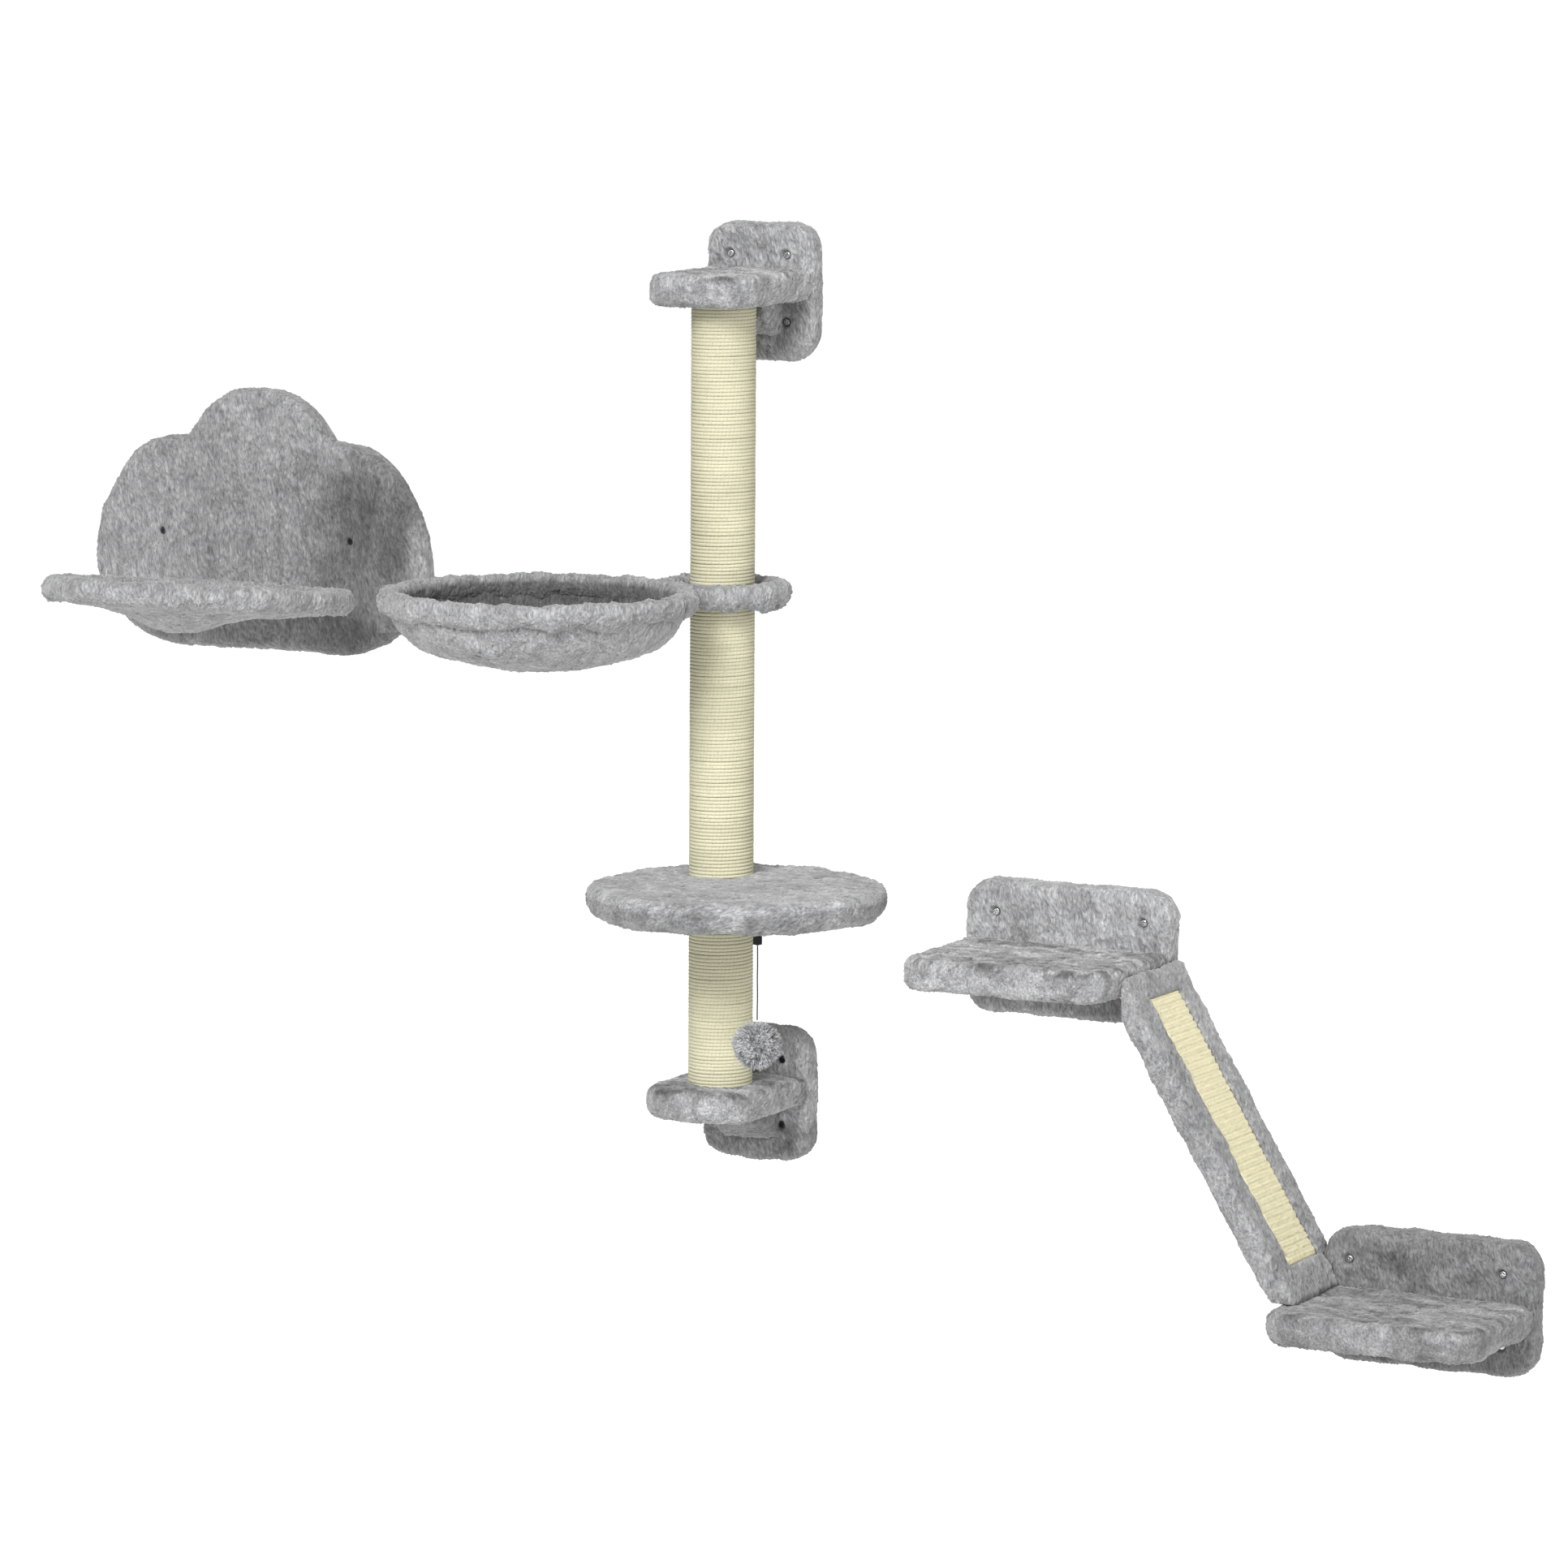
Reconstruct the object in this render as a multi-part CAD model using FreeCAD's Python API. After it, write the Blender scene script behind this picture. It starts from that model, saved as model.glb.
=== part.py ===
import FreeCAD, Part
import math
import os

# Wall mounted climbing set for a cat: a swing hammock post, a round lounger with a
# cloud-shaped backboard, and two wall steps joined by a scratching ramp.
# Frame, in millimetres: +X to the right along the wall, +Y into the wall, +Z up.
# The wall is the plane Y = 0 and everything but the wall screws' points is at Y < 0.
# The origin is the centre of the upper post bracket's four wall screws, on the wall.

V = FreeCAD.Vector
os.makedirs("parts", exist_ok=True)

# ---------------------------------------------------------------- driving dimensions
# boards and their plush covering
FOLD = 2.0            # cover folded over onto the back of a wall board
WALL_BOARD_T = 22.0   # wall boards
FRONT_PILE = 11.0     # plush and pile on the front of a wall board
PLATE_T = FOLD + WALL_BOARD_T + FRONT_PILE      # 35
SHELF_T = 36.0        # shelves, plush included
PILE = 8.0            # plush and pile on edges and on both faces of a shelf
FOLD_W = 20.0         # width of the folded margin on the back of a wall board

# post brackets
BR_W, BR_H, BR_R = 134.0, 152.0, 32.0
BR_PLATE_DZ = -4.0    # middle of the plate, measured from the middle of its screws
BR_SHELF_D, BR_SHELF_R = 156.0, 32.0
BR_SHELF_TOP = 22.0   # top of the shelf above the plate's centre
BR_DROP = 903.0       # lower bracket below the upper one
BR_SCREW_X, BR_SCREW_Z = 70.0, 74.0
GUSSET_W, GUSSET_D, GUSSET_H = 66.0, 40.0, 38.0

# post
POST_Y = -114.0
ROPE_R, TUBE_R, TUBE_IN_R = 36.0, 32.0, 29.0
PLUG_T = 14.0
ROD_R = 4.0           # M8 threaded rod and bolts
ROD_HOLE_R = 4.05
RING_Z = -331.0       # height of the swing hammock's ring
LUG_T, LUG_W = 3.0, 20.0
WASHER_T, WASHER_R = 1.0, 14.0
LUG_GAP = 0.2         # clearance above and below the lug
LUG_HOLE_R = 4.08
PLAT_TOP, PLAT_T, PLAT_R = -646.0, 34.0, 166.0
PLAT_X, PLAT_Y = 52.0, -178.0

# rings and bags
RING_R, RING_TUBE_R, WIRE_R = 162.5, 14.0, 4.0
SMALL_R = 62.6
SWING_ANGLE = 54.0    # from the wall's direction out into the room
BAG_T = 5.0
SWING_BAG = [(165.0, -14.6), (160.0, -25.0), (146.0, -41.0), (118.0, -57.0), (80.0, -68.5), (40.0, -73.4)]
SWING_BAG_BOTTOM = -74.0
LOUNGE_BAG = [(165.0, -14.6), (140.0, -15.6), (110.0, -20.0), (80.0, -28.0), (50.0, -38.0), (25.0, -44.6)]
LOUNGE_BAG_BOTTOM = -46.0

# toy
TOY_X, TOY_Y = 126.0, -270.0
PLUG_R, PLUG_LEN = 5.0, 15.0
KNOT_R = 2.6
STRING_R = 0.7
POMPOM_R = 28.5
# route of the toy's string, from the knot down to the pompom
STRING_ROUTE = [
    (126.0, -270.0, -696.6),
    (126.5, -270.2, -713.0),
    (125.7, -269.6, -732.0),
    (126.6, -270.4, -752.0),
    (126.0, -270.0, -771.0),
    (126.1, -270.0, -778.2),
]

# lounger
LO_X = -651.0
LO_RING_X, LO_RING_Y, LO_RING_Z = -618.0, -211.5, -359.0
LO_TILT = 6.0         # the ring's front is higher than its back
# right half of the covered backboard's outline: offset from its middle, height
LO_HALF = [
    (0.0, -139.0), (25.0, -142.0), (50.0, -151.0), (72.0, -166.0), (87.0, -184.0), (96.0, -197.0),
]
LO_LOBE = [
    (96.0, -197.0), (121.0, -198.5), (148.0, -206.0), (171.0, -222.0), (189.0, -244.0), (203.5, -270.0),
    (214.5, -295.0), (221.0, -321.0), (223.0, -341.0), (217.5, -370.0), (201.0, -398.0), (176.5, -420.0),
    (147.0, -435.5), (114.0, -443.0),
]
LO_SCREW_X, LO_SCREW_Z = 252.0, 92.0
LO_SCREW_MID = -356.0
LO_ROD_X = 60.0       # the ring's two fixing rods, each side of its middle

# wall steps
ST_W, ST_H, ST_R = 248.0, 148.0, 32.0
ST_SHELF_D, ST_SHELF_R = 180.0, 34.0
ST_SHELF_TOP = 10.0
UP_X, UP_Z = 388.0, -717.0
LW_X, LW_Z = 815.0, -1066.0
ST_SCREW_X, ST_SCREW_Z = 178.0, 78.0
UP_DX, LW_DX = -3.0, 3.0   # middle of each step, measured from the middle of its screws

# ramp: line of its top face from the upper shelf's end to the lower shelf's top
RA_TOP = (509.3, -708.5)
RA_BOTTOM = (720.2, -1055.7)
RA_T, RA_PILE = 30.0, 7.0
RA_Y0, RA_Y1 = -165.0, -8.0
MAT_W, MAT_T, MAT_S0, MAT_S1 = 77.0, 5.5, 40.0, 363.5

# screws
SCREW_HEAD_R, SCREW_HEAD_T = 4.2, 3.2
SCREW_SHANK_R = 2.3   # inside the board
STUD_R = 2.5          # the thread that stands out of the back, into the wall
STUD_LEN = 26.0


# ---------------------------------------------------------------- helpers
def rrect(w, h, r_top, r_bottom=None):
    """Closed wire of a rounded rectangle in the XY plane, centred on the origin."""
    rt = r_top
    rb = r_top if r_bottom is None else r_bottom
    x, y = w / 2.0, h / 2.0
    s = math.sqrt(0.5)
    edges = []

    def line(a, b):
        if (V(*b) - V(*a)).Length > 1e-6:
            edges.append(Part.LineSegment(V(*a), V(*b)).toShape())

    def arc(a, m, b):
        edges.append(Part.Arc(V(*a), V(*m), V(*b)).toShape())

    line((-x + rb, -y, 0), (x - rb, -y, 0))
    if rb > 0:
        arc((x - rb, -y, 0), (x - rb + rb * s, -y + rb - rb * s, 0), (x, -y + rb, 0))
    line((x, -y + rb, 0), (x, y - rt, 0))
    if rt > 0:
        arc((x, y - rt, 0), (x - rt + rt * s, y - rt + rt * s, 0), (x - rt, y, 0))
    line((x - rt, y, 0), (-x + rt, y, 0))
    if rt > 0:
        arc((-x + rt, y, 0), (-x + rt - rt * s, y - rt + rt * s, 0), (-x, y - rt, 0))
    line((-x, y - rt, 0), (-x, -y + rb, 0))
    if rb > 0:
        arc((-x, -y + rb, 0), (-x + rb - rb * s, -y + rb - rb * s, 0), (-x + rb, -y, 0))
    return Part.Wire(edges)


def plate(cx, cz, w, h, r, y_back, y_front):
    """Rounded plate standing in a plane parallel to the wall, from y_back out to y_front."""
    face = Part.Face(rrect(w, h, r))
    solid = face.extrude(V(0, 0, y_back - y_front))          # along local +Z
    solid.rotate(V(0, 0, 0), V(1, 0, 0), 90)                 # local Y up, local Z to -Y
    solid.translate(V(cx, y_back, cz))
    return solid


def shelf(cx, w, y_back, y_front, z0, z1, r):
    """Flat shelf with rounded front corners and square back corners."""
    depth = y_back - y_front
    face = Part.Face(rrect(w, depth, 0.0, r))
    solid = face.extrude(V(0, 0, z1 - z0))
    solid.translate(V(cx, (y_back + y_front) / 2.0, z0))
    return solid


def box(x0, x1, y0, y1, z0, z1):
    return Part.makeBox(x1 - x0, y1 - y0, z1 - z0, V(x0, y0, z0))


def cyl(r, p, d, length):
    return Part.makeCylinder(r, length, V(*p), V(*d))


def tube(r_out, r_in, x, y, z0, z1):
    return cyl(r_out, (x, y, z0), (0, 0, 1), z1 - z0).cut(cyl(r_in, (x, y, z0 - 1), (0, 0, 1), z1 - z0 + 2))


def round_edges(solid, r, keep):
    """Fillets the edges for which keep(edge) is true; leaves the solid as it is if that fails."""
    edges = [e for e in solid.Edges if keep(e)]
    try:
        out = solid.makeFillet(r, edges)
        if out.isValid() and out.Volume > 0.5 * solid.Volume:
            return out
    except Exception:
        pass
    print("no fillet on", len(edges), "edges")
    return solid


def at_y(y):
    return lambda e: abs(e.BoundBox.YMin - y) < 1e-4 and abs(e.BoundBox.YMax - y) < 1e-4


def at_z(*zs):
    return lambda e: any(abs(e.BoundBox.ZMin - z) < 1e-4 and abs(e.BoundBox.ZMax - z) < 1e-4 for z in zs)


def cut_all(solid, tools):
    for t in tools:
        solid = solid.cut(t)
    return solid


VOLUMES = {}


def save(name, shapes):
    """Writes one node: a single solid, or a group of separate solids."""
    solids = []
    for s in shapes if isinstance(shapes, (list, tuple)) else [shapes]:
        solids.extend(s.Solids)
    out = solids[0] if len(solids) == 1 else Part.makeCompound(solids)
    for s in solids:
        if not s.isValid() or s.Volume <= 0:
            print("BAD SOLID in", name, s.isValid(), s.Volume)
    VOLUMES[name] = (len(solids), sum(s.Volume for s in solids))
    out.exportStep("parts/" + name + ".step")
    return solids


# ---------------------------------------------------------------- screws
def wall_screw(x, z):
    """Pan head on the pressed-down plush, shank through the board, thread out of the back."""
    y_seat = -(FOLD + WALL_BOARD_T) - 4.0
    head = cyl(SCREW_HEAD_R, (x, y_seat, z), (0, -1, 0), SCREW_HEAD_T)
    head = round_edges(head, 1.2, at_y(y_seat - SCREW_HEAD_T))
    for a in (0, 90):
        slot = box(-2.4, 2.4, -0.5, 0.5, -0.5, 0.5)
        slot = box(-2.4, 2.4, -1.6, 1.0, -0.5, 0.5)
        slot.rotate(V(0, 0, 0), V(0, 1, 0), a + 20)
        slot.translate(V(x, y_seat - SCREW_HEAD_T + 1.0 - 0.4, z))
        head = head.cut(slot)
    shank = cyl(SCREW_SHANK_R, (x, y_seat, z), (0, 1, 0), -y_seat)
    stud = cyl(STUD_R, (x, 0, z), (0, 1, 0), STUD_LEN)
    tip = Part.makeCone(STUD_R, 0.4, 6.0, V(x, STUD_LEN, z), V(0, 1, 0))
    return head.fuse(shank).fuse(stud).fuse(tip).removeSplitter()


def wall_screw_holes(x, z):
    """Cuts for one wall screw: (through the board, through the cover)."""
    y_seat = -(FOLD + WALL_BOARD_T) - 4.0
    board = cyl(SCREW_SHANK_R + 0.05, (x, 5, z), (0, -1, 0), 50)
    cover = board.fuse(cyl(SCREW_HEAD_R + 1.8, (x, y_seat, z), (0, -1, 0), 20))
    return board, cover


def joining_screw(x, z):
    """Countersunk wood screw from the back of a wall board into the shelf's back edge."""
    head = Part.makeCone(4.0, 2.0, 3.0, V(x, -FOLD - 0.5, z), V(0, -1, 0))
    shank = cyl(2.0, (x, -FOLD - 3.5, z), (0, -1, 0), 50.0)
    tip = Part.makeCone(2.0, 0.3, 5.0, V(x, -FOLD - 53.5, z), V(0, -1, 0))
    slot1 = box(x - 2.0, x + 2.0, -FOLD - 1.7, -FOLD, z - 0.4, z + 0.4)
    slot2 = box(x - 0.4, x + 0.4, -FOLD - 1.7, -FOLD, z - 2.0, z + 2.0)
    return head.fuse(shank).fuse(tip).removeSplitter().cut(slot1).cut(slot2)


def joining_hole(x, z):
    head = Part.makeCone(4.3 + 0.5, 2.3, 3.5 - 0.0, V(x, -FOLD, z), V(0, -1, 0))
    return head.fuse(cyl(2.05, (x, -FOLD, z), (0, -1, 0), 53.6)).fuse(
        Part.makeCone(2.05, 0.35, 5.2, V(x, -FOLD - 53.5, z), V(0, -1, 0))
    )


JOINING = []


def wall_unit(prefix, screw_x, screw_z, w, h, r, shelf_d, shelf_r, shelf_top, sx, sz, join_x, gusset, dx=0.0, dz=0.0):
    """A wall board with a shelf standing out of it, each in its own plush cover."""
    cx, cz, pz = screw_x + dx, screw_z, screw_z + dz
    yb, yf = -FOLD, -FOLD - WALL_BOARD_T          # back and front of the wall board
    front = -PLATE_T
    s_front = front - shelf_d
    z1, z0 = cz + shelf_top, cz + shelf_top - SHELF_T
    # bare pieces
    board = plate(cx, pz, w - 2 * PILE, h - 2 * PILE, r - PILE, yb, yf)
    sboard = shelf(cx, w - 2 * PILE, yf, s_front + PILE, z0 + PILE, z1 - PILE, shelf_r - PILE)
    # covers
    cover = plate(cx, pz, w, h, r, 0.0, front)
    cover = round_edges(cover, 7.0, at_y(front))
    inner = plate(cx, pz, w - 2 * PILE, h - 2 * PILE, r - PILE, yb, yf)
    window = plate(cx, pz, w - 2 * PILE - 2 * FOLD_W, h - 2 * PILE - 2 * FOLD_W, 8.0, 1.0, yb - 0.5)
    cover = cover.cut(inner).cut(window)
    scover = shelf(cx, w, front, s_front, z0, z1, shelf_r)
    scover = round_edges(scover, 7.0, lambda e: at_z(z0, z1)(e) and e.BoundBox.YMin < front - 1)
    scover = scover.cut(sboard)
    # the shelf board goes through the wall board's cover, back to the wall board
    cover = cover.cut(box(cx - w / 2 + PILE, cx + w / 2 - PILE, front - 5, yf, z0 + PILE, z1 - PILE))
    screws, board_cuts = [], []
    for i in (-1, 1):
        for j in (-1, 1):
            x, z = screw_x + i * sx / 2, screw_z + j * sz / 2
            screws.append(wall_screw(x, z))
            b, c = wall_screw_holes(x, z)
            board = board.cut(b)
            cover = cover.cut(c)
    zj = (z0 + z1) / 2
    for x in (cx - join_x, cx + join_x):
        JOINING.append(joining_screw(x, zj))
        board_cuts.append(joining_hole(x, zj))
    board = cut_all(board, board_cuts)
    sboard = cut_all(sboard, board_cuts)
    parts = {"board": board, "cover": cover, "shelf": sboard, "shelf_cover": scover}
    if gusset:
        # block in the corner under the shelf, sloped in front, with its own cover
        gz0 = z0 - GUSSET_H
        yg = front - GUSSET_D
        pts = [V(0, yf, z0 + PILE), V(0, yg + PILE, z0 + PILE), V(0, yg + PILE, z0 - 12), V(0, front - 8, gz0 + 5), V(0, yf, gz0 + 5), V(0, yf, z0 + PILE)]
        block = Part.Face(Part.makePolygon(pts)).extrude(V(GUSSET_W - 2 * PILE, 0, 0))
        block.translate(V(cx - GUSSET_W / 2 + PILE, 0, 0))
        opts = [V(0, front, z0), V(0, yg, z0), V(0, yg, z0 - 16), V(0, front - 14, gz0), V(0, front, gz0), V(0, front, z0)]
        skin = Part.Face(Part.makePolygon(opts)).extrude(V(GUSSET_W, 0, 0))
        skin.translate(V(cx - GUSSET_W / 2, 0, 0))
        skin = skin.cut(block)
        parts["cover"] = parts["cover"].cut(block)
        parts["shelf_cover"] = parts["shelf_cover"].cut(block)
        parts["gusset"], parts["gusset_cover"] = block, skin
    parts["screws"] = screws
    parts["z"] = (z0, z1)
    return parts


# ---------------------------------------------------------------- post brackets
top = wall_unit("top", 0.0, 0.0, BR_W, BR_H, BR_R, BR_SHELF_D, BR_SHELF_R, BR_SHELF_TOP, BR_SCREW_X, BR_SCREW_Z, 22.0, True, dz=BR_PLATE_DZ)
bot = wall_unit("bottom", 0.0, -BR_DROP, BR_W, BR_H, BR_R, BR_SHELF_D, BR_SHELF_R, BR_SHELF_TOP, BR_SCREW_X, BR_SCREW_Z, 22.0, True, dz=BR_PLATE_DZ)

post_top = top["z"][0]
post_bottom = bot["z"][1]
stack = LUG_T + 2 * LUG_GAP + 2 * WASHER_T
upper_end = RING_Z + stack / 2.0
middle_top = RING_Z - stack / 2.0
plat_bottom = PLAT_TOP - PLAT_T

segments = {
    "upper": (upper_end, post_top),
    "middle": (PLAT_TOP, middle_top),
    "lower": (post_bottom, plat_bottom),
}
# the tubes bear on the shelf boards and the platform board through holes in the covers
bear = {
    "upper": (0.0, PILE),
    "middle": (-PILE, 0.0),
    "lower": (-PILE, PILE),
}
end_plugs = []
for name, (z0, z1) in segments.items():
    a, b = z0 + bear[name][0], z1 + bear[name][1]
    save(name + "_post_tube", tube(TUBE_R, TUBE_IN_R, 0, POST_Y, a, b))
    save(name + "_post_rope", tube(ROPE_R, TUBE_R, 0, POST_Y, z0, z1))
    end_plugs.append(tube(TUBE_IN_R, ROD_HOLE_R, 0, POST_Y, a, a + PLUG_T))
    end_plugs.append(tube(TUBE_IN_R, ROD_HOLE_R, 0, POST_Y, b - PLUG_T, b))
save("post_end_plugs", end_plugs)
post_hole = cyl(TUBE_R + 0.05, (0, POST_Y, -2000), (0, 0, 1), 4000)
slab = lambda z0, z1: box(-400, 400, -600, 50, z0, z1)

top["shelf_cover"] = top["shelf_cover"].cut(post_hole.common(slab(post_top - 1, post_top + PILE)))
bot["shelf_cover"] = bot["shelf_cover"].cut(post_hole.common(slab(post_bottom - PILE, post_bottom + 1)))

# bolts through the shelves into the end plugs
def end_bolt(z_seat, up):
    s = 1.0 if up else -1.0
    washer = cyl(9.0, (0, POST_Y, z_seat), (0, 0, s), 1.2)
    head = cyl(6.5, (0, POST_Y, z_seat + 1.2 * s), (0, 0, s), 4.2)
    hexa = Part.Face(Part.makePolygon([V(2.5 * math.cos(math.radians(60 * i)), POST_Y + 2.5 * math.sin(math.radians(60 * i)), 0) for i in range(7)]))
    socket = hexa.extrude(V(0, 0, 3.0 * s))
    socket.translate(V(0, 0, z_seat + (5.4 - 2.6) * s))
    shank = cyl(ROD_R, (0, POST_Y, z_seat), (0, 0, -s), SHELF_T - 2 * PILE + PLUG_T + 6)
    return washer.fuse(head).cut(socket).fuse(shank).removeSplitter()


top_seat = top["z"][1] - PILE
bot_seat = bot["z"][0] + PILE
save("post_end_bolts", [end_bolt(top_seat, True), end_bolt(bot_seat, False)])
bolt_hole = cyl(ROD_R + 0.3, (0, POST_Y, -2000), (0, 0, 1), 4000)
head_hole = cyl(11.0, (0, POST_Y, -2000), (0, 0, 1), 4000)
top["shelf"] = top["shelf"].cut(bolt_hole)
bot["shelf"] = bot["shelf"].cut(bolt_hole)
top["shelf_cover"] = top["shelf_cover"].cut(head_hole.common(slab(top_seat, top_seat + 40)))
bot["shelf_cover"] = bot["shelf_cover"].cut(head_hole.common(slab(bot_seat - 40, bot_seat)))

for name, u in (("top_bracket", top), ("bottom_bracket", bot)):
    save(name + "_wall_board", u["board"])
    save(name + "_wall_cover", u["cover"])
    save(name + "_shelf_board", u["shelf"])
    save(name + "_shelf_cover", u["shelf_cover"])
    save(name + "_gusset", u["gusset"])
    save(name + "_gusset_cover", u["gusset_cover"])
    save(name + "_wall_screws", u["screws"])

# threaded rods joining the three post lengths
rod1 = cyl(ROD_R, (0, POST_Y, RING_Z - 30), (0, 0, 1), 60)
rod2 = cyl(ROD_R, (0, POST_Y, plat_bottom - 18), (0, 0, 1), PLAT_T + 36)
save("post_joint_rods", [rod1, rod2])
save(
    "swivel_washers",
    [
        tube(WASHER_R, ROD_HOLE_R, 0, POST_Y, upper_end - WASHER_T, upper_end),
        tube(WASHER_R, ROD_HOLE_R, 0, POST_Y, middle_top, middle_top + WASHER_T),
    ],
)

# ---------------------------------------------------------------- round platform
pboard = cyl(PLAT_R - PILE, (PLAT_X, PLAT_Y, plat_bottom + PILE), (0, 0, 1), PLAT_T - 2 * PILE)
pboard = pboard.cut(bolt_hole)
pcover = cyl(PLAT_R, (PLAT_X, PLAT_Y, plat_bottom), (0, 0, 1), PLAT_T)
pcover = round_edges(pcover, 9.0, at_z(plat_bottom, PLAT_TOP))
pcover = pcover.cut(cyl(PLAT_R - PILE, (PLAT_X, PLAT_Y, plat_bottom + PILE), (0, 0, 1), PLAT_T - 2 * PILE))
pcover = pcover.cut(post_hole.common(slab(plat_bottom - 5, PLAT_TOP + 5)))
toy_stem = cyl(3.0, (TOY_X, TOY_Y, plat_bottom), (0, 0, 1), PILE + 10)
toy_stem_hole = cyl(3.05, (TOY_X, TOY_Y, plat_bottom - 1), (0, 0, 1), PILE + 11.2)
pboard = pboard.cut(toy_stem_hole)
pcover = pcover.cut(toy_stem_hole)
save("platform_board", pboard)
save("platform_cover", pcover)

# ---------------------------------------------------------------- toy under the platform
plug = cyl(PLUG_R, (TOY_X, TOY_Y, plat_bottom - PLUG_LEN), (0, 0, 1), PLUG_LEN)
plug = round_edges(plug, 0.6, at_z(plat_bottom - PLUG_LEN))
plug = plug.fuse(toy_stem).removeSplitter()
# the knotted end sits in a bore with a flared mouth, so that the string can swing
plug = plug.cut(cyl(3.3, (TOY_X, TOY_Y, plat_bottom - PLUG_LEN - 1), (0, 0, 1), 6.5))
plug = plug.cut(Part.makeCone(4.4, 3.3, 1.2, V(TOY_X, TOY_Y, plat_bottom - PLUG_LEN - 0.001), V(0, 0, 1)))
save("toy_plug", plug)
knot_z = plat_bottom - PLUG_LEN + 1.3
knot = Part.makeSphere(KNOT_R, V(TOY_X, TOY_Y, knot_z))
string_top = STRING_ROUTE[0][2]      # 0.3 below the knot, which turns with the first swing axis only
save("toy_knot", knot)


def rounded_route(pts, r_share=0.45):
    """Straight runs joined by tangent arcs; returns the wire and prints each arc's radius."""
    P = [V(*p) for p in pts]
    edges, last = [], P[0]
    radii = []
    for i in range(1, len(P) - 1):
        a, b, c = P[i - 1], P[i], P[i + 1]
        d1, d2 = (b - a), (c - b)
        l1, l2 = d1.Length, d2.Length
        d1.normalize()
        d2.normalize()
        turn = d1.getAngle(d2)
        t = r_share * min(l1, l2)
        radius = t / math.tan(turn / 2.0)
        radii.append(round(radius, 1))
        p1, p2 = b - d1 * t, b + d2 * t
        bis = d2 - d1
        bis.normalize()
        centre_dist = radius / math.cos(turn / 2.0)
        mid = b + bis * (centre_dist - radius)
        edges.append(Part.LineSegment(last, p1).toShape())
        edges.append(Part.Arc(p1, mid, p2).toShape())
        last = p2
    edges.append(Part.LineSegment(last, P[-1]).toShape())
    print("string arcs, mm:", radii, "runs, mm:", [round((P[i + 1] - P[i]).Length, 1) for i in range(len(P) - 1)])
    return Part.Wire(edges)


wire = rounded_route(STRING_ROUTE)
start_dir = V(*STRING_ROUTE[1]) - V(*STRING_ROUTE[0])
ring_wire = Part.Wire(Part.makeCircle(STRING_R, V(*STRING_ROUTE[0]), start_dir))
string = wire.makePipeShell([ring_wire], True, False)
print("string volume", round(string.Volume, 2), "section x length", round(math.pi * STRING_R ** 2 * wire.Length, 2), "length", round(wire.Length, 1))
# trimmed flat where it meets the knot and the pompom
string = string.cut(box(TOY_X - 9, TOY_X + 9, TOY_Y - 9, TOY_Y + 9, string_top, string_top + 5))
pom_top = STRING_ROUTE[-1][2] + 0.2
string = string.cut(box(TOY_X - 9, TOY_X + 9, TOY_Y - 9, TOY_Y + 9, pom_top - 5, pom_top))
save("toy_string", string)
pom_z = pom_top + 1.0 - POMPOM_R
pompom = Part.makeSphere(POMPOM_R, V(TOY_X, TOY_Y, pom_z))
pompom = pompom.cut(box(TOY_X - 20, TOY_X + 20, TOY_Y - 20, TOY_Y + 20, pom_top, pom_top + 5))
save("toy_pompom", pompom)


# ---------------------------------------------------------------- swing hammock
def torus(R, r, c):
    return Part.makeTorus(R, r, V(*c), V(0, 0, 1))


def bag(profile, bottom, c):
    """Bowl of cloth of even thickness, turned about the ring's axis, open at the top."""
    profile = profile + [(14.0, bottom)]
    outer = [V(r, 0, z) for r, z in profile] + [V(0, 0, bottom)]
    inner = []
    n = len(profile)
    for i, (r, z) in enumerate(profile):
        a = profile[max(0, i - 1)]
        b = profile[min(n - 1, i + 1)]
        t = V(b[0] - a[0], 0, b[1] - a[1])
        t.normalize()
        nrm = V(t.z, 0, -t.x)      # towards the inside of the bowl
        if i == 0:
            inner.append(V(r - BAG_T, 0, z))
        else:
            inner.append(V(r, 0, z) + nrm * BAG_T)
    outer[-1] = V(0, 0, profile[-1][1] - 0.2)
    inner.append(V(0, 0, inner[-1].z + 0.2))
    w = Part.makePolygon(outer + list(reversed(inner)) + [outer[0]])
    solid = Part.Face(w).revolve(V(0, 0, 0), V(0, 0, 1), 360)
    solid = Part.Solid(solid.Shells[0]) if solid.ShapeType != "Solid" else solid
    if solid.Volume < 0:
        solid.reverse()
    solid.translate(V(*c))
    return solid


ang = math.radians(SWING_ANGLE)
span = RING_R + SMALL_R
SW = (-span * math.cos(ang), POST_Y - span * math.sin(ang), RING_Z)
print("swing ring centre", [round(v, 2) for v in SW])
post_c = (0.0, POST_Y, RING_Z)
strap = box(-SMALL_R, SMALL_R, -LUG_W / 2, LUG_W / 2, -LUG_T / 2, LUG_T / 2)
strap_slot = box(-SMALL_R, SMALL_R, -LUG_W / 2 - 0.4, LUG_W / 2 + 0.4, -LUG_T / 2 - 0.3, LUG_T / 2 + 0.3)
for s in (strap, strap_slot):
    s.rotate(V(0, 0, 0), V(0, 0, 1), 180 + SWING_ANGLE)
    s.translate(V(*post_c))
frame = torus(RING_R, WIRE_R, SW).fuse(torus(SMALL_R, WIRE_R, post_c)).fuse(strap)
frame = frame.cut(cyl(LUG_HOLE_R, (0, POST_Y, RING_Z - 10), (0, 0, 1), 20)).removeSplitter()
save("hammock_ring_frame", frame)
sleeve = torus(RING_R, RING_TUBE_R, SW).fuse(torus(SMALL_R, RING_TUBE_R, post_c))
sleeve = sleeve.cut(torus(RING_R, WIRE_R + 0.3, SW)).cut(torus(SMALL_R, WIRE_R + 0.3, post_c)).cut(strap_slot)
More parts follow.
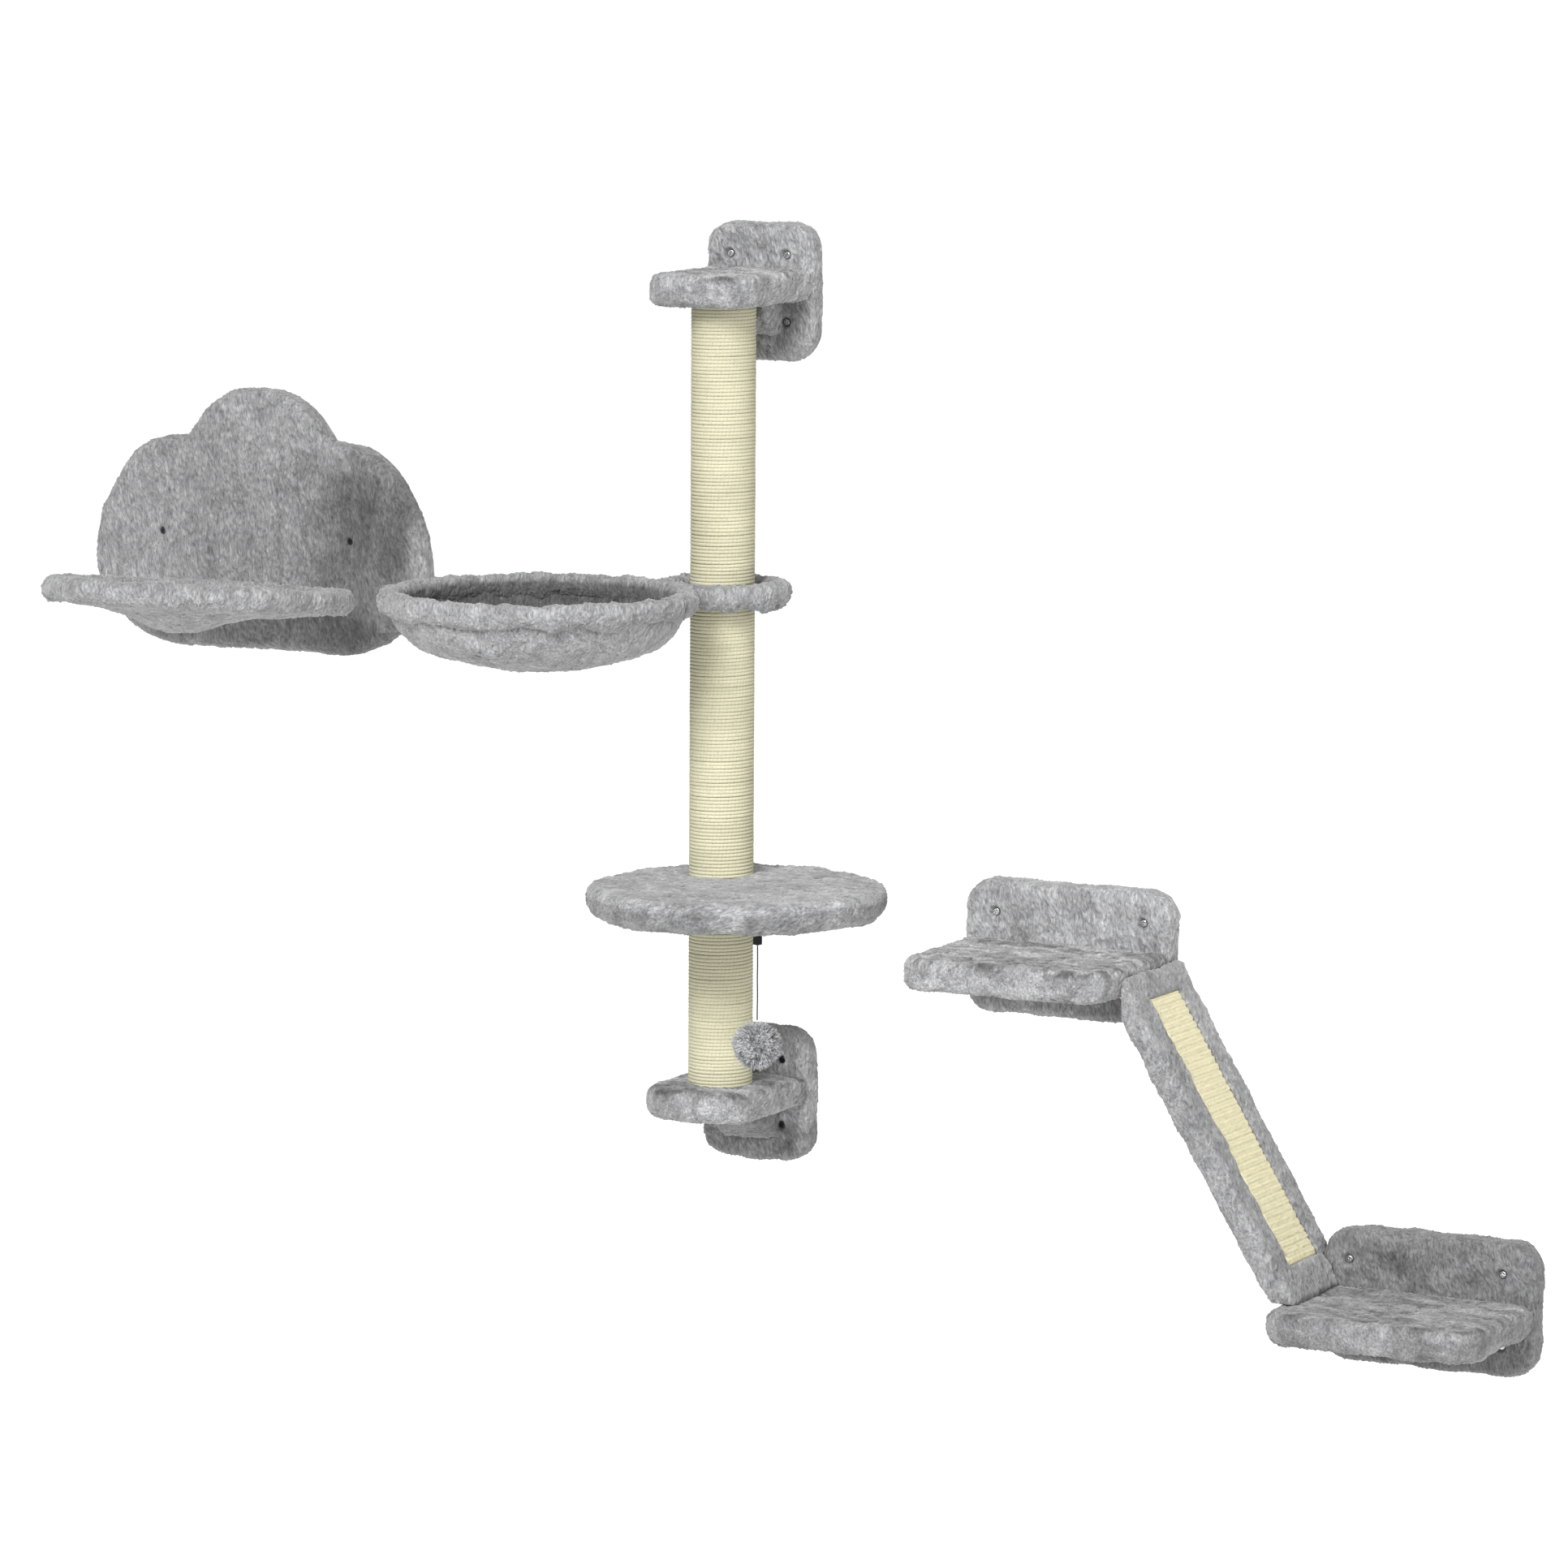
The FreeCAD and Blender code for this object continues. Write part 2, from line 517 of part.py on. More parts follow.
save("hammock_ring_cover", sleeve)
save("hammock_bag", bag(SWING_BAG, SWING_BAG_BOTTOM, SW))

# ---------------------------------------------------------------- lounger
def outline(half, lobe, inset):
    """Closed wire of the cloud-shaped board in the XZ plane, moved inward by inset."""

    def moved(pts, corner_end):
        out = []
        n = len(pts)
        for i, (x, z) in enumerate(pts):
            a, b = pts[max(0, i - 1)], pts[min(n - 1, i + 1)]
            tx, tz = b[0] - a[0], b[1] - a[1]
            if i == 0 and x == 0.0:
                tx, tz = 1.0, 0.0
            l = math.hypot(tx, tz)
            nx, nz = tz / l, -tx / l          # to the right of travel: inward when going clockwise
            out.append((x + nx * inset, z + nz * inset))
        return out

    h, l = moved(half, True), moved(lobe, True)
    if inset:
        # the two lobes meet in a notch: take the point where the moved curves cross
        notch = ((h[-1][0] + l[0][0]) / 2.0 - 1.5, (h[-1][1] + l[0][1]) / 2.0)
        h[-1] = notch
        l[0] = notch
    bottom_z = l[-1][1]
    edges = []

    def curve(pts, **k):
        c = Part.BSplineCurve()
        c.interpolate([V(x, 0, z) for x, z in pts], **k)
        return c.toShape()

    right_top = curve(h, InitialTangent=V(1, 0, 0), FinalTangent=V(h[-1][0] - h[-2][0], 0, h[-1][1] - h[-2][1]))
    right_lobe = curve(l, InitialTangent=V(l[1][0] - l[0][0], 0, (l[1][1] - l[0][1]) * 0.3), FinalTangent=V(-1, 0, 0))
    mirror = lambda pts: [(-x, z) for x, z in pts]
    left_top = curve(list(reversed(mirror(h))), InitialTangent=V(h[-1][0] - h[-2][0], 0, -(h[-1][1] - h[-2][1])), FinalTangent=V(1, 0, 0))
    left_lobe = curve(list(reversed(mirror(l))), InitialTangent=V(-1, 0, 0), FinalTangent=V(l[1][0] - l[0][0], 0, -(l[1][1] - l[0][1]) * 0.3))
    base = Part.LineSegment(V(l[-1][0], 0, bottom_z), V(-l[-1][0], 0, bottom_z)).toShape()
    return Part.Wire([right_top, right_lobe, base, left_lobe, left_top])


def cloud(inset, y_back, y_front):
    face = Part.Face(outline(LO_HALF, LO_LOBE, inset))
    solid = face.extrude(V(0, y_front - y_back, 0))
    solid.translate(V(LO_X, y_back, 0))
    return solid


lo_board = cloud(PILE, -FOLD, -FOLD - WALL_BOARD_T)
lo_inner = cloud(PILE, -FOLD, -FOLD - WALL_BOARD_T)
lo_window = cloud(PILE + FOLD_W, 1.0, -FOLD - 0.5)
lo_cover = cloud(0.0, 0.0, -PLATE_T)
lo_cover = lo_cover.cut(lo_inner).cut(lo_window)
lo_screws = []
for i in (-1, 1):
    for j in (-1, 1):
        x, z = LO_X + i * LO_SCREW_X / 2, LO_SCREW_MID + j * LO_SCREW_Z / 2
        lo_screws.append(wall_screw(x, z))
        b, c = wall_screw_holes(x, z)
        lo_board = lo_board.cut(b)
        lo_cover = lo_cover.cut(c)

LC = (LO_RING_X, LO_RING_Y, LO_RING_Z)


def tilted(solid):
    """Turned about the ring's own left-to-right axis, front up."""
    solid.rotate(V(*LC), V(1, 0, 0), -LO_TILT)
    return solid


lo_frame = tilted(torus(RING_R, WIRE_R, LC))
lo_sleeve = tilted(torus(RING_R, RING_TUBE_R, LC).cut(torus(RING_R, WIRE_R + 0.3, LC)))
bolts = []
back = math.sqrt(RING_R ** 2 - LO_ROD_X ** 2)
rod_front = LO_RING_Y + back * math.cos(math.radians(LO_TILT))
rod_z = LO_RING_Z - back * math.sin(math.radians(LO_TILT))
print("lounger rods at z", round(rod_z, 2), "from y", round(rod_front, 2))
for i in (-1, 1):
    x = LO_RING_X + i * LO_ROD_X
    y_face = -FOLD - WALL_BOARD_T
    arm = cyl(5.0, (x, rod_front, rod_z), (0, 1, 0), y_face - rod_front)
    bore = cyl(3.0, (x, y_face, rod_z), (0, -1, 0), 18)
    lo_frame = lo_frame.fuse(arm).cut(bore)
    arm_hole = cyl(5.3, (x, rod_front, rod_z), (0, 1, 0), -rod_front)
    lo_sleeve = lo_sleeve.cut(arm_hole)
    lo_cover = lo_cover.cut(cyl(5.3, (x, rod_front, rod_z), (0, 1, 0), y_face - rod_front))
    shank = cyl(2.95, (x, -FOLD - 1.0, rod_z), (0, -1, 0), WALL_BOARD_T - 1.0 + 14)
    head = cyl(6.0, (x, -FOLD - 1.0, rod_z), (0, -1, 0), 4.0)
    hexa = Part.Face(Part.makePolygon([V(x + 2.3 * math.cos(math.radians(60 * k)), -FOLD - 1.0, rod_z + 2.3 * math.sin(math.radians(60 * k))) for k in range(7)]))
    bolts.append(head.fuse(shank).removeSplitter().cut(hexa.extrude(V(0, -2.4, 0))))
    lo_board = lo_board.cut(cyl(3.0, (x, 0, rod_z), (0, -1, 0), 40)).cut(cyl(6.3, (x, 0, rod_z), (0, -1, 0), FOLD + 5.0))
lo_frame = lo_frame.removeSplitter()
save("lounger_board", lo_board)
save("lounger_board_cover", lo_cover)
save("lounger_wall_screws", lo_screws)
save("lounger_ring_frame", lo_frame)
save("lounger_ring_cover", lo_sleeve)
save("lounger_ring_bolts", bolts)
save("lounger_bag", tilted(bag(LOUNGE_BAG, LOUNGE_BAG_BOTTOM, LC)))

# ---------------------------------------------------------------- wall steps and ramp
up = wall_unit("upper", UP_X, UP_Z, ST_W, ST_H, ST_R, ST_SHELF_D, ST_SHELF_R, ST_SHELF_TOP, ST_SCREW_X, ST_SCREW_Z, 60.0, False, dx=UP_DX)
lw = wall_unit("lower", LW_X, LW_Z, ST_W, ST_H, ST_R, ST_SHELF_D, ST_SHELF_R, ST_SHELF_TOP, ST_SCREW_X, ST_SCREW_Z, 60.0, False, dx=LW_DX)
print("upper shelf z", up["z"], "lower shelf z", lw["z"])

ax, az = RA_TOP
bx, bz = RA_BOTTOM
ux, uz = bx - ax, bz - az
ra_len = math.hypot(ux, uz)
ux, uz = ux / ra_len, uz / ra_len
nx, nz = -uz, ux                      # up and to the right, away from the ramp's top face
print("ramp length", round(ra_len, 1), "slope", round(math.degrees(math.atan2(-uz, ux)), 1))


def ramp_prism(s0, s1, top_off, bottom_off, y0, y1):
    pts = []
    for s, o in ((s0, top_off), (s1, top_off), (s1, bottom_off), (s0, bottom_off), (s0, top_off)):
        pts.append(V(ax + ux * s + nx * o, y0, az + uz * s + nz * o))
    return Part.Face(Part.makePolygon(pts)).extrude(V(0, y1 - y0, 0))


end_x = UP_X + UP_DX + ST_W / 2 + 0.3         # the upper shelf's right end
rest_z = lw["z"][1] + 0.3             # the lower shelf's top
keep = box(end_x, 1200, -400, 50, rest_z, 0)
ra_full = ramp_prism(-120, ra_len + 120, 0.0, -RA_T, RA_Y0, RA_Y1)
long_edges = lambda e: abs(e.Length - (ra_len + 240)) < 1.0
ra_outer = round_edges(ra_full, 6.0, long_edges).common(keep)
ra_inner = ramp_prism(-120, ra_len + 120, -RA_PILE, -RA_T + RA_PILE, RA_Y0 + RA_PILE, RA_Y1 - RA_PILE).common(keep)
# the foot's wall-side corner is cut out round the lower wall board's cover
corner_x = LW_X + LW_DX - ST_W / 2 - 0.3
corner_y = -PLATE_T - 0.3
ra_inner = ra_inner.cut(box(corner_x - RA_PILE, 1200, corner_y - RA_PILE, 50, -1200, -900))
ym = (RA_Y0 + RA_Y1) / 2
mat = ramp_prism(MAT_S0, MAT_S1, -RA_PILE + MAT_T, -RA_PILE, ym - MAT_W / 2, ym + MAT_W / 2)
mat_pocket = ramp_prism(MAT_S0, MAT_S1, 3.0, -RA_PILE, ym - MAT_W / 2, ym + MAT_W / 2)
ra_cover = ra_outer.cut(ra_inner).cut(mat_pocket).cut(box(corner_x, 1200, corner_y, 50, -1200, -900))

# two small steel angles in the corner under the upper shelf's end hold the ramp's top
brackets, fix = [], []
uz0 = up["z"][0]
for y in (ym - 34, ym + 34):
    flat = box(end_x - 32, end_x, y - 9, y + 9, uz0 - 2.0, uz0)
    leg = box(end_x - 2.0, end_x, y - 9, y + 9, uz0 - 22.0, uz0)
    angle = flat.fuse(leg).removeSplitter()
    for x in (end_x - 12, end_x - 24):
        angle = angle.cut(cyl(1.9, (x, y, uz0 - 5), (0, 0, 1), 10))
        head = cyl(3.4, (x, y, uz0 - 2.0), (0, 0, -1), 1.8)
        shank = cyl(1.8, (x, y, uz0 - 2.0), (0, 0, 1), 23)
        fix.append(head.fuse(shank).removeSplitter())
        hole = cyl(1.85, (x, y, uz0 - 1), (0, 0, 1), 22.5)
        up["shelf"] = up["shelf"].cut(hole)
        up["shelf_cover"] = up["shelf_cover"].cut(hole)
    for z, length in ((uz0 - 7.0, 9.0), (uz0 - 15.5, 13.0)):
        angle = angle.cut(cyl(1.9, (end_x - 5, y, z), (1, 0, 0), 10))
        head = cyl(3.4, (end_x - 2.0, y, z), (-1, 0, 0), 1.8)
        shank = cyl(1.8, (end_x - 2.0, y, z), (1, 0, 0), length + 2.0)
        fix.append(head.fuse(shank).removeSplitter())
        hole = cyl(1.85, (end_x - 1, y, z), (1, 0, 0), length + 1.4)
        ra_inner = ra_inner.cut(hole)
        ra_cover = ra_cover.cut(hole)
    brackets.append(angle)

# two long screws from under the lower shelf, in line with the ramp, hold its foot
foot = []
seat = lw["z"][0] + PILE
foot_x = 702.5 + (-1056.0 - seat) * ux / -uz
for y in (ym - 30, ym + 30):
    p = V(foot_x, y, seat)
    d = V(-ux, 0, -uz)
    start = p + d * 2.5
    head = Part.makeCylinder(4.5, 2.6, start, d * -1)
    shank = Part.makeCylinder(2.2, 48.0, start, d)
    foot.append(head.fuse(shank).removeSplitter())
    seat_cut = Part.makeCylinder(4.6, 30.0, start, d * -1)
    hole = Part.makeCylinder(2.25, 48.2, start, d)
    lw["shelf"] = lw["shelf"].cut(hole).cut(seat_cut)
    lw["shelf_cover"] = lw["shelf_cover"].cut(hole).cut(seat_cut)
    ra_inner = ra_inner.cut(hole)
    ra_cover = ra_cover.cut(hole)

for name, u in (("upper_step", up), ("lower_step", lw)):
    save(name + "_wall_board", u["board"])
    save(name + "_wall_cover", u["cover"])
    save(name + "_shelf_board", u["shelf"])
    save(name + "_shelf_cover", u["shelf_cover"])
    save(name + "_wall_screws", u["screws"])
save("ramp_board", ra_inner)
save("ramp_cover", ra_cover)
save("ramp_sisal_mat", mat)
save("ramp_angles", brackets)
save("ramp_angle_screws", fix)
save("ramp_foot_screws", foot)
save("shelf_joining_screws", JOINING)

print(len(VOLUMES), "nodes")
for k, v in VOLUMES.items():
    print(f"  {k:32s} solids {v[0]:2d} volume {v[1] / 1000.0:9.2f} cm3")
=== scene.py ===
import math

import bpy
import numpy as np
from mathutils import Matrix, Vector


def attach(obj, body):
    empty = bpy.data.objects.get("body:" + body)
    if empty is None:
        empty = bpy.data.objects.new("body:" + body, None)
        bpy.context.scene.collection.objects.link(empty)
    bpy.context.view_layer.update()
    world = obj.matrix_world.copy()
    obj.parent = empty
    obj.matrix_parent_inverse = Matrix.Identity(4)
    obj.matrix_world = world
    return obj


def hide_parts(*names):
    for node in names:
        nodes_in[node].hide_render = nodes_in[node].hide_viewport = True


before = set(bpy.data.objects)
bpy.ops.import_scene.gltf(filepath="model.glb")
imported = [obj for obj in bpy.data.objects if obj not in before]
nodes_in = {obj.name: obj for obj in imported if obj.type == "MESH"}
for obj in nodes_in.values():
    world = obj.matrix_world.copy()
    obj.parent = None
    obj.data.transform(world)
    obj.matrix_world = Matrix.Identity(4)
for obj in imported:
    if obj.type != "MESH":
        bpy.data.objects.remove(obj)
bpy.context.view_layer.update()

# Wall mounted climbing set: plush covered boards, a rope-wound post, two rings with
# cloth bags, a pompom on a string, and a ramp with a woven mat.
# Lengths in the making below are millimetres in the row frame, written out in metres.

MM = 0.001
scene = bpy.context.scene
col = scene.collection


# ------------------------------------------------------------------ camera
def make_camera():
    f_px, size = 9000.0, 1932.0
    th, ph, roll = math.radians(27.0), math.radians(7.7), math.radians(0.33)
    fw = np.array([-math.sin(th) * math.cos(ph), math.cos(th) * math.cos(ph), -math.sin(ph)])
    r0 = np.array([math.cos(th), math.sin(th), 0.0])
    u0 = np.cross(r0, fw)
    right = r0 * math.cos(roll) + u0 * math.sin(roll)
    up = u0 * math.cos(roll) - r0 * math.sin(roll)
    anchor, px, py, dist = np.array([0.0, -35.0, 0.0]), 932.5, 354.5, 8100.0
    c = anchor - dist * (fw + right * (px - 966) / f_px + up * (966 - py) / f_px)
    data = bpy.data.cameras.new("camera")
    data.sensor_fit = "HORIZONTAL"
    data.sensor_width = 36.0
    data.lens = 36.0 * f_px / size
    data.clip_start, data.clip_end = 0.1, 400.0
    cam = bpy.data.objects.new("camera", data)
    col.objects.link(cam)
    m = np.eye(4)
    m[:3, 0], m[:3, 1], m[:3, 2], m[:3, 3] = right, up, -fw, c * MM
    cam.matrix_world = Matrix(m.tolist())
    scene.camera = cam


make_camera()

# ------------------------------------------------------------------ the toy's string
STRING_ROUTE = [
    (0.1260, -0.2700, -0.6966),
    (0.1265, -0.2702, -0.7130),
    (0.1257, -0.2696, -0.7320),
    (0.1266, -0.2704, -0.7520),
    (0.1260, -0.2700, -0.7710),
    (0.1261, -0.2700, -0.7782),
]


def make_string():
    cu = bpy.data.curves.new("string", "CURVE")
    cu.dimensions = "3D"
    sp = cu.splines.new("NURBS")
    sp.points.add(len(STRING_ROUTE) - 1)
    for p, co in zip(sp.points, STRING_ROUTE):
        p.co = (*co, 1.0)
    sp.order_u = 3
    sp.use_endpoint_u = True
    sp.resolution_u = 12
    cu.bevel_depth = 0.0007
    cu.bevel_resolution = 3
    cu.use_fill_caps = True
    ob = bpy.data.objects.new("string", cu)
    col.objects.link(ob)
    return ob


string = make_string()


# ------------------------------------------------------------------ noise
def hash3(i, j, k, seed):
    h = (
        (i.astype(np.uint32) * np.uint32(374761393))
        ^ (j.astype(np.uint32) * np.uint32(668265263))
        ^ (k.astype(np.uint32) * np.uint32(2246822519))
        ^ np.uint32((seed * 3266489917 + 374761) & 0xFFFFFFFF)
    )
    h ^= h >> np.uint32(15)
    h *= np.uint32(2246822519)
    h ^= h >> np.uint32(13)
    h *= np.uint32(3266489917)
    h ^= h >> np.uint32(16)
    return h


def unit(h):
    return h.astype(np.float32) / np.float32(4294967296.0)


def noise(p, seed=0):
    """Smooth value noise, 0 to 1, one cell per unit."""
    p = np.asarray(p, np.float32)
    f = np.floor(p)
    i = f.astype(np.int32)
    t = p - f
    t = t * t * t * (t * (t * 6.0 - 15.0) + 10.0)
    out = np.zeros(len(p), np.float32)
    for a in (0, 1):
        wa = t[:, 0] if a else 1.0 - t[:, 0]
        for b in (0, 1):
            wb = t[:, 1] if b else 1.0 - t[:, 1]
            for c in (0, 1):
                wc = t[:, 2] if c else 1.0 - t[:, 2]
                out += wa * wb * wc * unit(hash3(i[:, 0] + a, i[:, 1] + b, i[:, 2] + c, seed))
    return out


def fbm(p, seed=0, octaves=3):
    """Layered noise about 0, roughly -0.5 to 0.5."""
    p = np.asarray(p, np.float32)
    out, amp, tot = np.zeros(len(p), np.float32), 1.0, 0.0
    for o in range(octaves):
        out += amp * (noise(p * (2.03 ** o) + 17.3 * o, seed + o) - 0.5)
        tot += amp
        amp *= 0.5
    return out / tot * 1.5


def cells(p, seed=0):
    """Distance to the nearest and second nearest cell point, and the nearest one's random number."""
    p = np.asarray(p, np.float32)
    base = np.floor(p).astype(np.int32)
    d1 = np.full(len(p), 9.0, np.float32)
    d2 = np.full(len(p), 9.0, np.float32)
    rnd = np.zeros(len(p), np.float32)
    for a in (-1, 0, 1):
        for b in (-1, 0, 1):
            for c in (-1, 0, 1):
                i, j, k = base[:, 0] + a, base[:, 1] + b, base[:, 2] + c
                h = hash3(i, j, k, seed)
                x = i + unit(h)
                y = j + unit(h * np.uint32(1664525) + np.uint32(1013904223))
                z = k + unit(h * np.uint32(22695477) + np.uint32(1))
                d = np.sqrt((x - p[:, 0]) ** 2 + (y - p[:, 1]) ** 2 + (z - p[:, 2]) ** 2)
                near = d < d1
                d2 = np.where(near, d1, np.minimum(d2, d))
                rnd = np.where(near, unit(h * np.uint32(69069) + np.uint32(7)), rnd)
                d1 = np.where(near, d, d1)
    return d1, d2, rnd


def smooth01(x):
    x = np.clip(x, 0.0, 1.0)
    return x * x * (3.0 - 2.0 * x)


# ------------------------------------------------------------------ closed surfaces from distance fields
def grid(lo, hi, h):
    lo = np.asarray(lo, float) - 2.5 * h
    n = np.ceil((np.asarray(hi, float) + 2.5 * h - lo) / h).astype(int) + 1
    ax = [lo[i] + h * np.arange(n[i]) for i in range(3)]
    return lo, ax


def nets(f, lo, h):
    """Quads of the closed surface where f = 0; f is negative inside."""
    s = f < 0
    nx, ny, nz = f.shape
    n_in = np.zeros((nx - 1, ny - 1, nz - 1), np.int8)
    for a in (0, 1):
        for b in (0, 1):
            for c in (0, 1):
                n_in += s[a:nx - 1 + a, b:ny - 1 + b, c:nz - 1 + c]
    act = (n_in > 0) & (n_in < 8)
    ids = np.argwhere(act)
    idx = np.full(act.shape, -1, np.int64)
    idx[act] = np.arange(len(ids))
    acc = np.zeros((len(ids), 3))
    cnt = np.zeros(len(ids))
    for axis in range(3):
        b, c = (axis + 1) % 3, (axis + 2) % 3
        for ob in (0, 1):
            for oc in (0, 1):
                o = np.zeros(3, int)
                o[b], o[c] = ob, oc
                o2 = o.copy()
                o2[axis] = 1
                fa = f[ids[:, 0] + o[0], ids[:, 1] + o[1], ids[:, 2] + o[2]]
                fb = f[ids[:, 0] + o2[0], ids[:, 1] + o2[1], ids[:, 2] + o2[2]]
                cross = (fa < 0) != (fb < 0)
                t = fa[cross] / (fa[cross] - fb[cross])
                p = np.tile(o.astype(float), (cross.sum(), 1))
                p[:, axis] = t
                acc[cross] += p
                cnt[cross] += 1
    v = (ids + acc / cnt[:, None]) * h + lo
    quads = []
    for axis in range(3):
        b, c = (axis + 1) % 3, (axis + 2) % 3
        m = np.moveaxis(s, (axis, b, c), (0, 1, 2))
        im = np.moveaxis(idx, (axis, b, c), (0, 1, 2))
        e = m[:-1, 1:-1, 1:-1] != m[1:, 1:-1, 1:-1]
        k = np.argwhere(e)
        i, j, l = k[:, 0], k[:, 1] + 1, k[:, 2] + 1
        q = np.stack([im[i, j - 1, l - 1], im[i, j, l - 1], im[i, j, l], im[i, j - 1, l]], 1)
        inside = m[i, j, l]
        q[~inside] = q[~inside][:, ::-1]
        quads.append(q)
    return v, np.concatenate(quads)


def sd_rrect(u, v, w, h, r):
    qx, qy = np.abs(u) - w / 2 + r, np.abs(v) - h / 2 + r
    return np.minimum(np.maximum(qx, qy), 0) + np.hypot(np.maximum(qx, 0), np.maximum(qy, 0)) - r


def sd_slab(d2, t, t0, t1, r0, r1):
    """A flat shape d2 between t0 and t1, with its edges rounded by r0 and r1."""
    mid, half = (t0 + t1) / 2, abs(t1 - t0) / 2
    r = np.where(t < mid, r0, r1)
    a, b = d2 + r, np.abs(t - mid) - half + r
    return np.minimum(np.maximum(a, b), 0) + np.hypot(np.maximum(a, 0), np.maximum(b, 0)) - r


def smin(a, b, k):
    h = np.clip(0.5 + 0.5 * (b - a) / k, 0, 1)
    return b + (a - b) * h - k * h * (1 - h)


def sd_polygon(u, v, pts):
    """Distance to a closed outline, negative inside."""
    p = np.asarray(pts, float)
    q = np.roll(p, -1, 0)
    best = np.full(u.shape, 1e9)
    inside = np.zeros(u.shape, bool)
    for (ax, ay), (bx, by) in zip(p, q):
        dx, dy = bx - ax, by - ay
        l2 = dx * dx + dy * dy
        if l2 < 1e-12:
            continue
        t = np.clip(((u - ax) * dx + (v - ay) * dy) / l2, 0, 1)
        best = np.minimum(best, (u - ax - t * dx) ** 2 + (v - ay - t * dy) ** 2)
        if abs(by - ay) > 1e-12:
            hit = ((ay > v) != (by > v)) & (u < (bx - ax) * (v - ay) / (by - ay) + ax)
            inside ^= hit
    d = np.sqrt(best)
    return np.where(inside, -d, d)


def normals(v, quads):
    a, b, c, d = (v[quads[:, i]] for i in range(4))
    n = np.cross(c - a, d - b)
    out = np.zeros_like(v)
    for i in range(4):
        np.add.at(out, quads[:, i], n)
    return out / np.maximum(np.linalg.norm(out, axis=1), 1e-9)[:, None]


def relax(v, quads, times=2, k=0.5):
    """Evens out the surface a little."""
    e = np.concatenate([quads[:, [i, (i + 1) % 4]] for i in range(4)])
    e = np.concatenate([e, e[:, ::-1]])
    n = np.bincount(e[:, 0], minlength=len(v)).astype(float)
    for _ in range(times):
        s = np.stack([np.bincount(e[:, 0], v[e[:, 1], i], len(v)) for i in range(3)], 1)
        v = v + k * (s / n[:, None] - v)
    return v


# ------------------------------------------------------------------ objects
def new_object(name, v, faces, mat, attrs=None, smooth=True):
    """faces is an array of quads, or a list of such arrays with any number of corners."""
    me = bpy.data.meshes.new(name)
    groups = faces if isinstance(faces, list) else [faces]
    v = np.asarray(v, float)
    me.vertices.add(len(v))
    me.vertices.foreach_set("co", (v * MM).astype(np.float32).ravel())
    loops = np.concatenate([g.ravel() for g in groups]).astype(np.int32)
    sizes = np.concatenate([np.full(len(g), g.shape[1], np.int32) for g in groups])
    me.loops.add(len(loops))
    me.loops.foreach_set("vertex_index", loops)
    me.polygons.add(len(sizes))
    me.polygons.foreach_set("loop_start", np.concatenate([[0], np.cumsum(sizes)[:-1]]).astype(np.int32))
    me.polygons.foreach_set("loop_total", sizes)
    me.polygons.foreach_set("use_smooth", np.full(len(sizes), bool(smooth)))
    me.update(calc_edges=True)
    for key, val in (attrs or {}).items():
        val = np.asarray(val, np.float32)
        if val.ndim == 1:
            a = me.attributes.new(key, "FLOAT", "POINT")
            a.data.foreach_set("value", val)
        else:
            a = me.attributes.new(key, "FLOAT_VECTOR", "POINT")
            a.data.foreach_set("vector", val.ravel())
    me.materials.append(mat)
    ob = bpy.data.objects.new(name, me)
    col.objects.link(ob)
    return ob


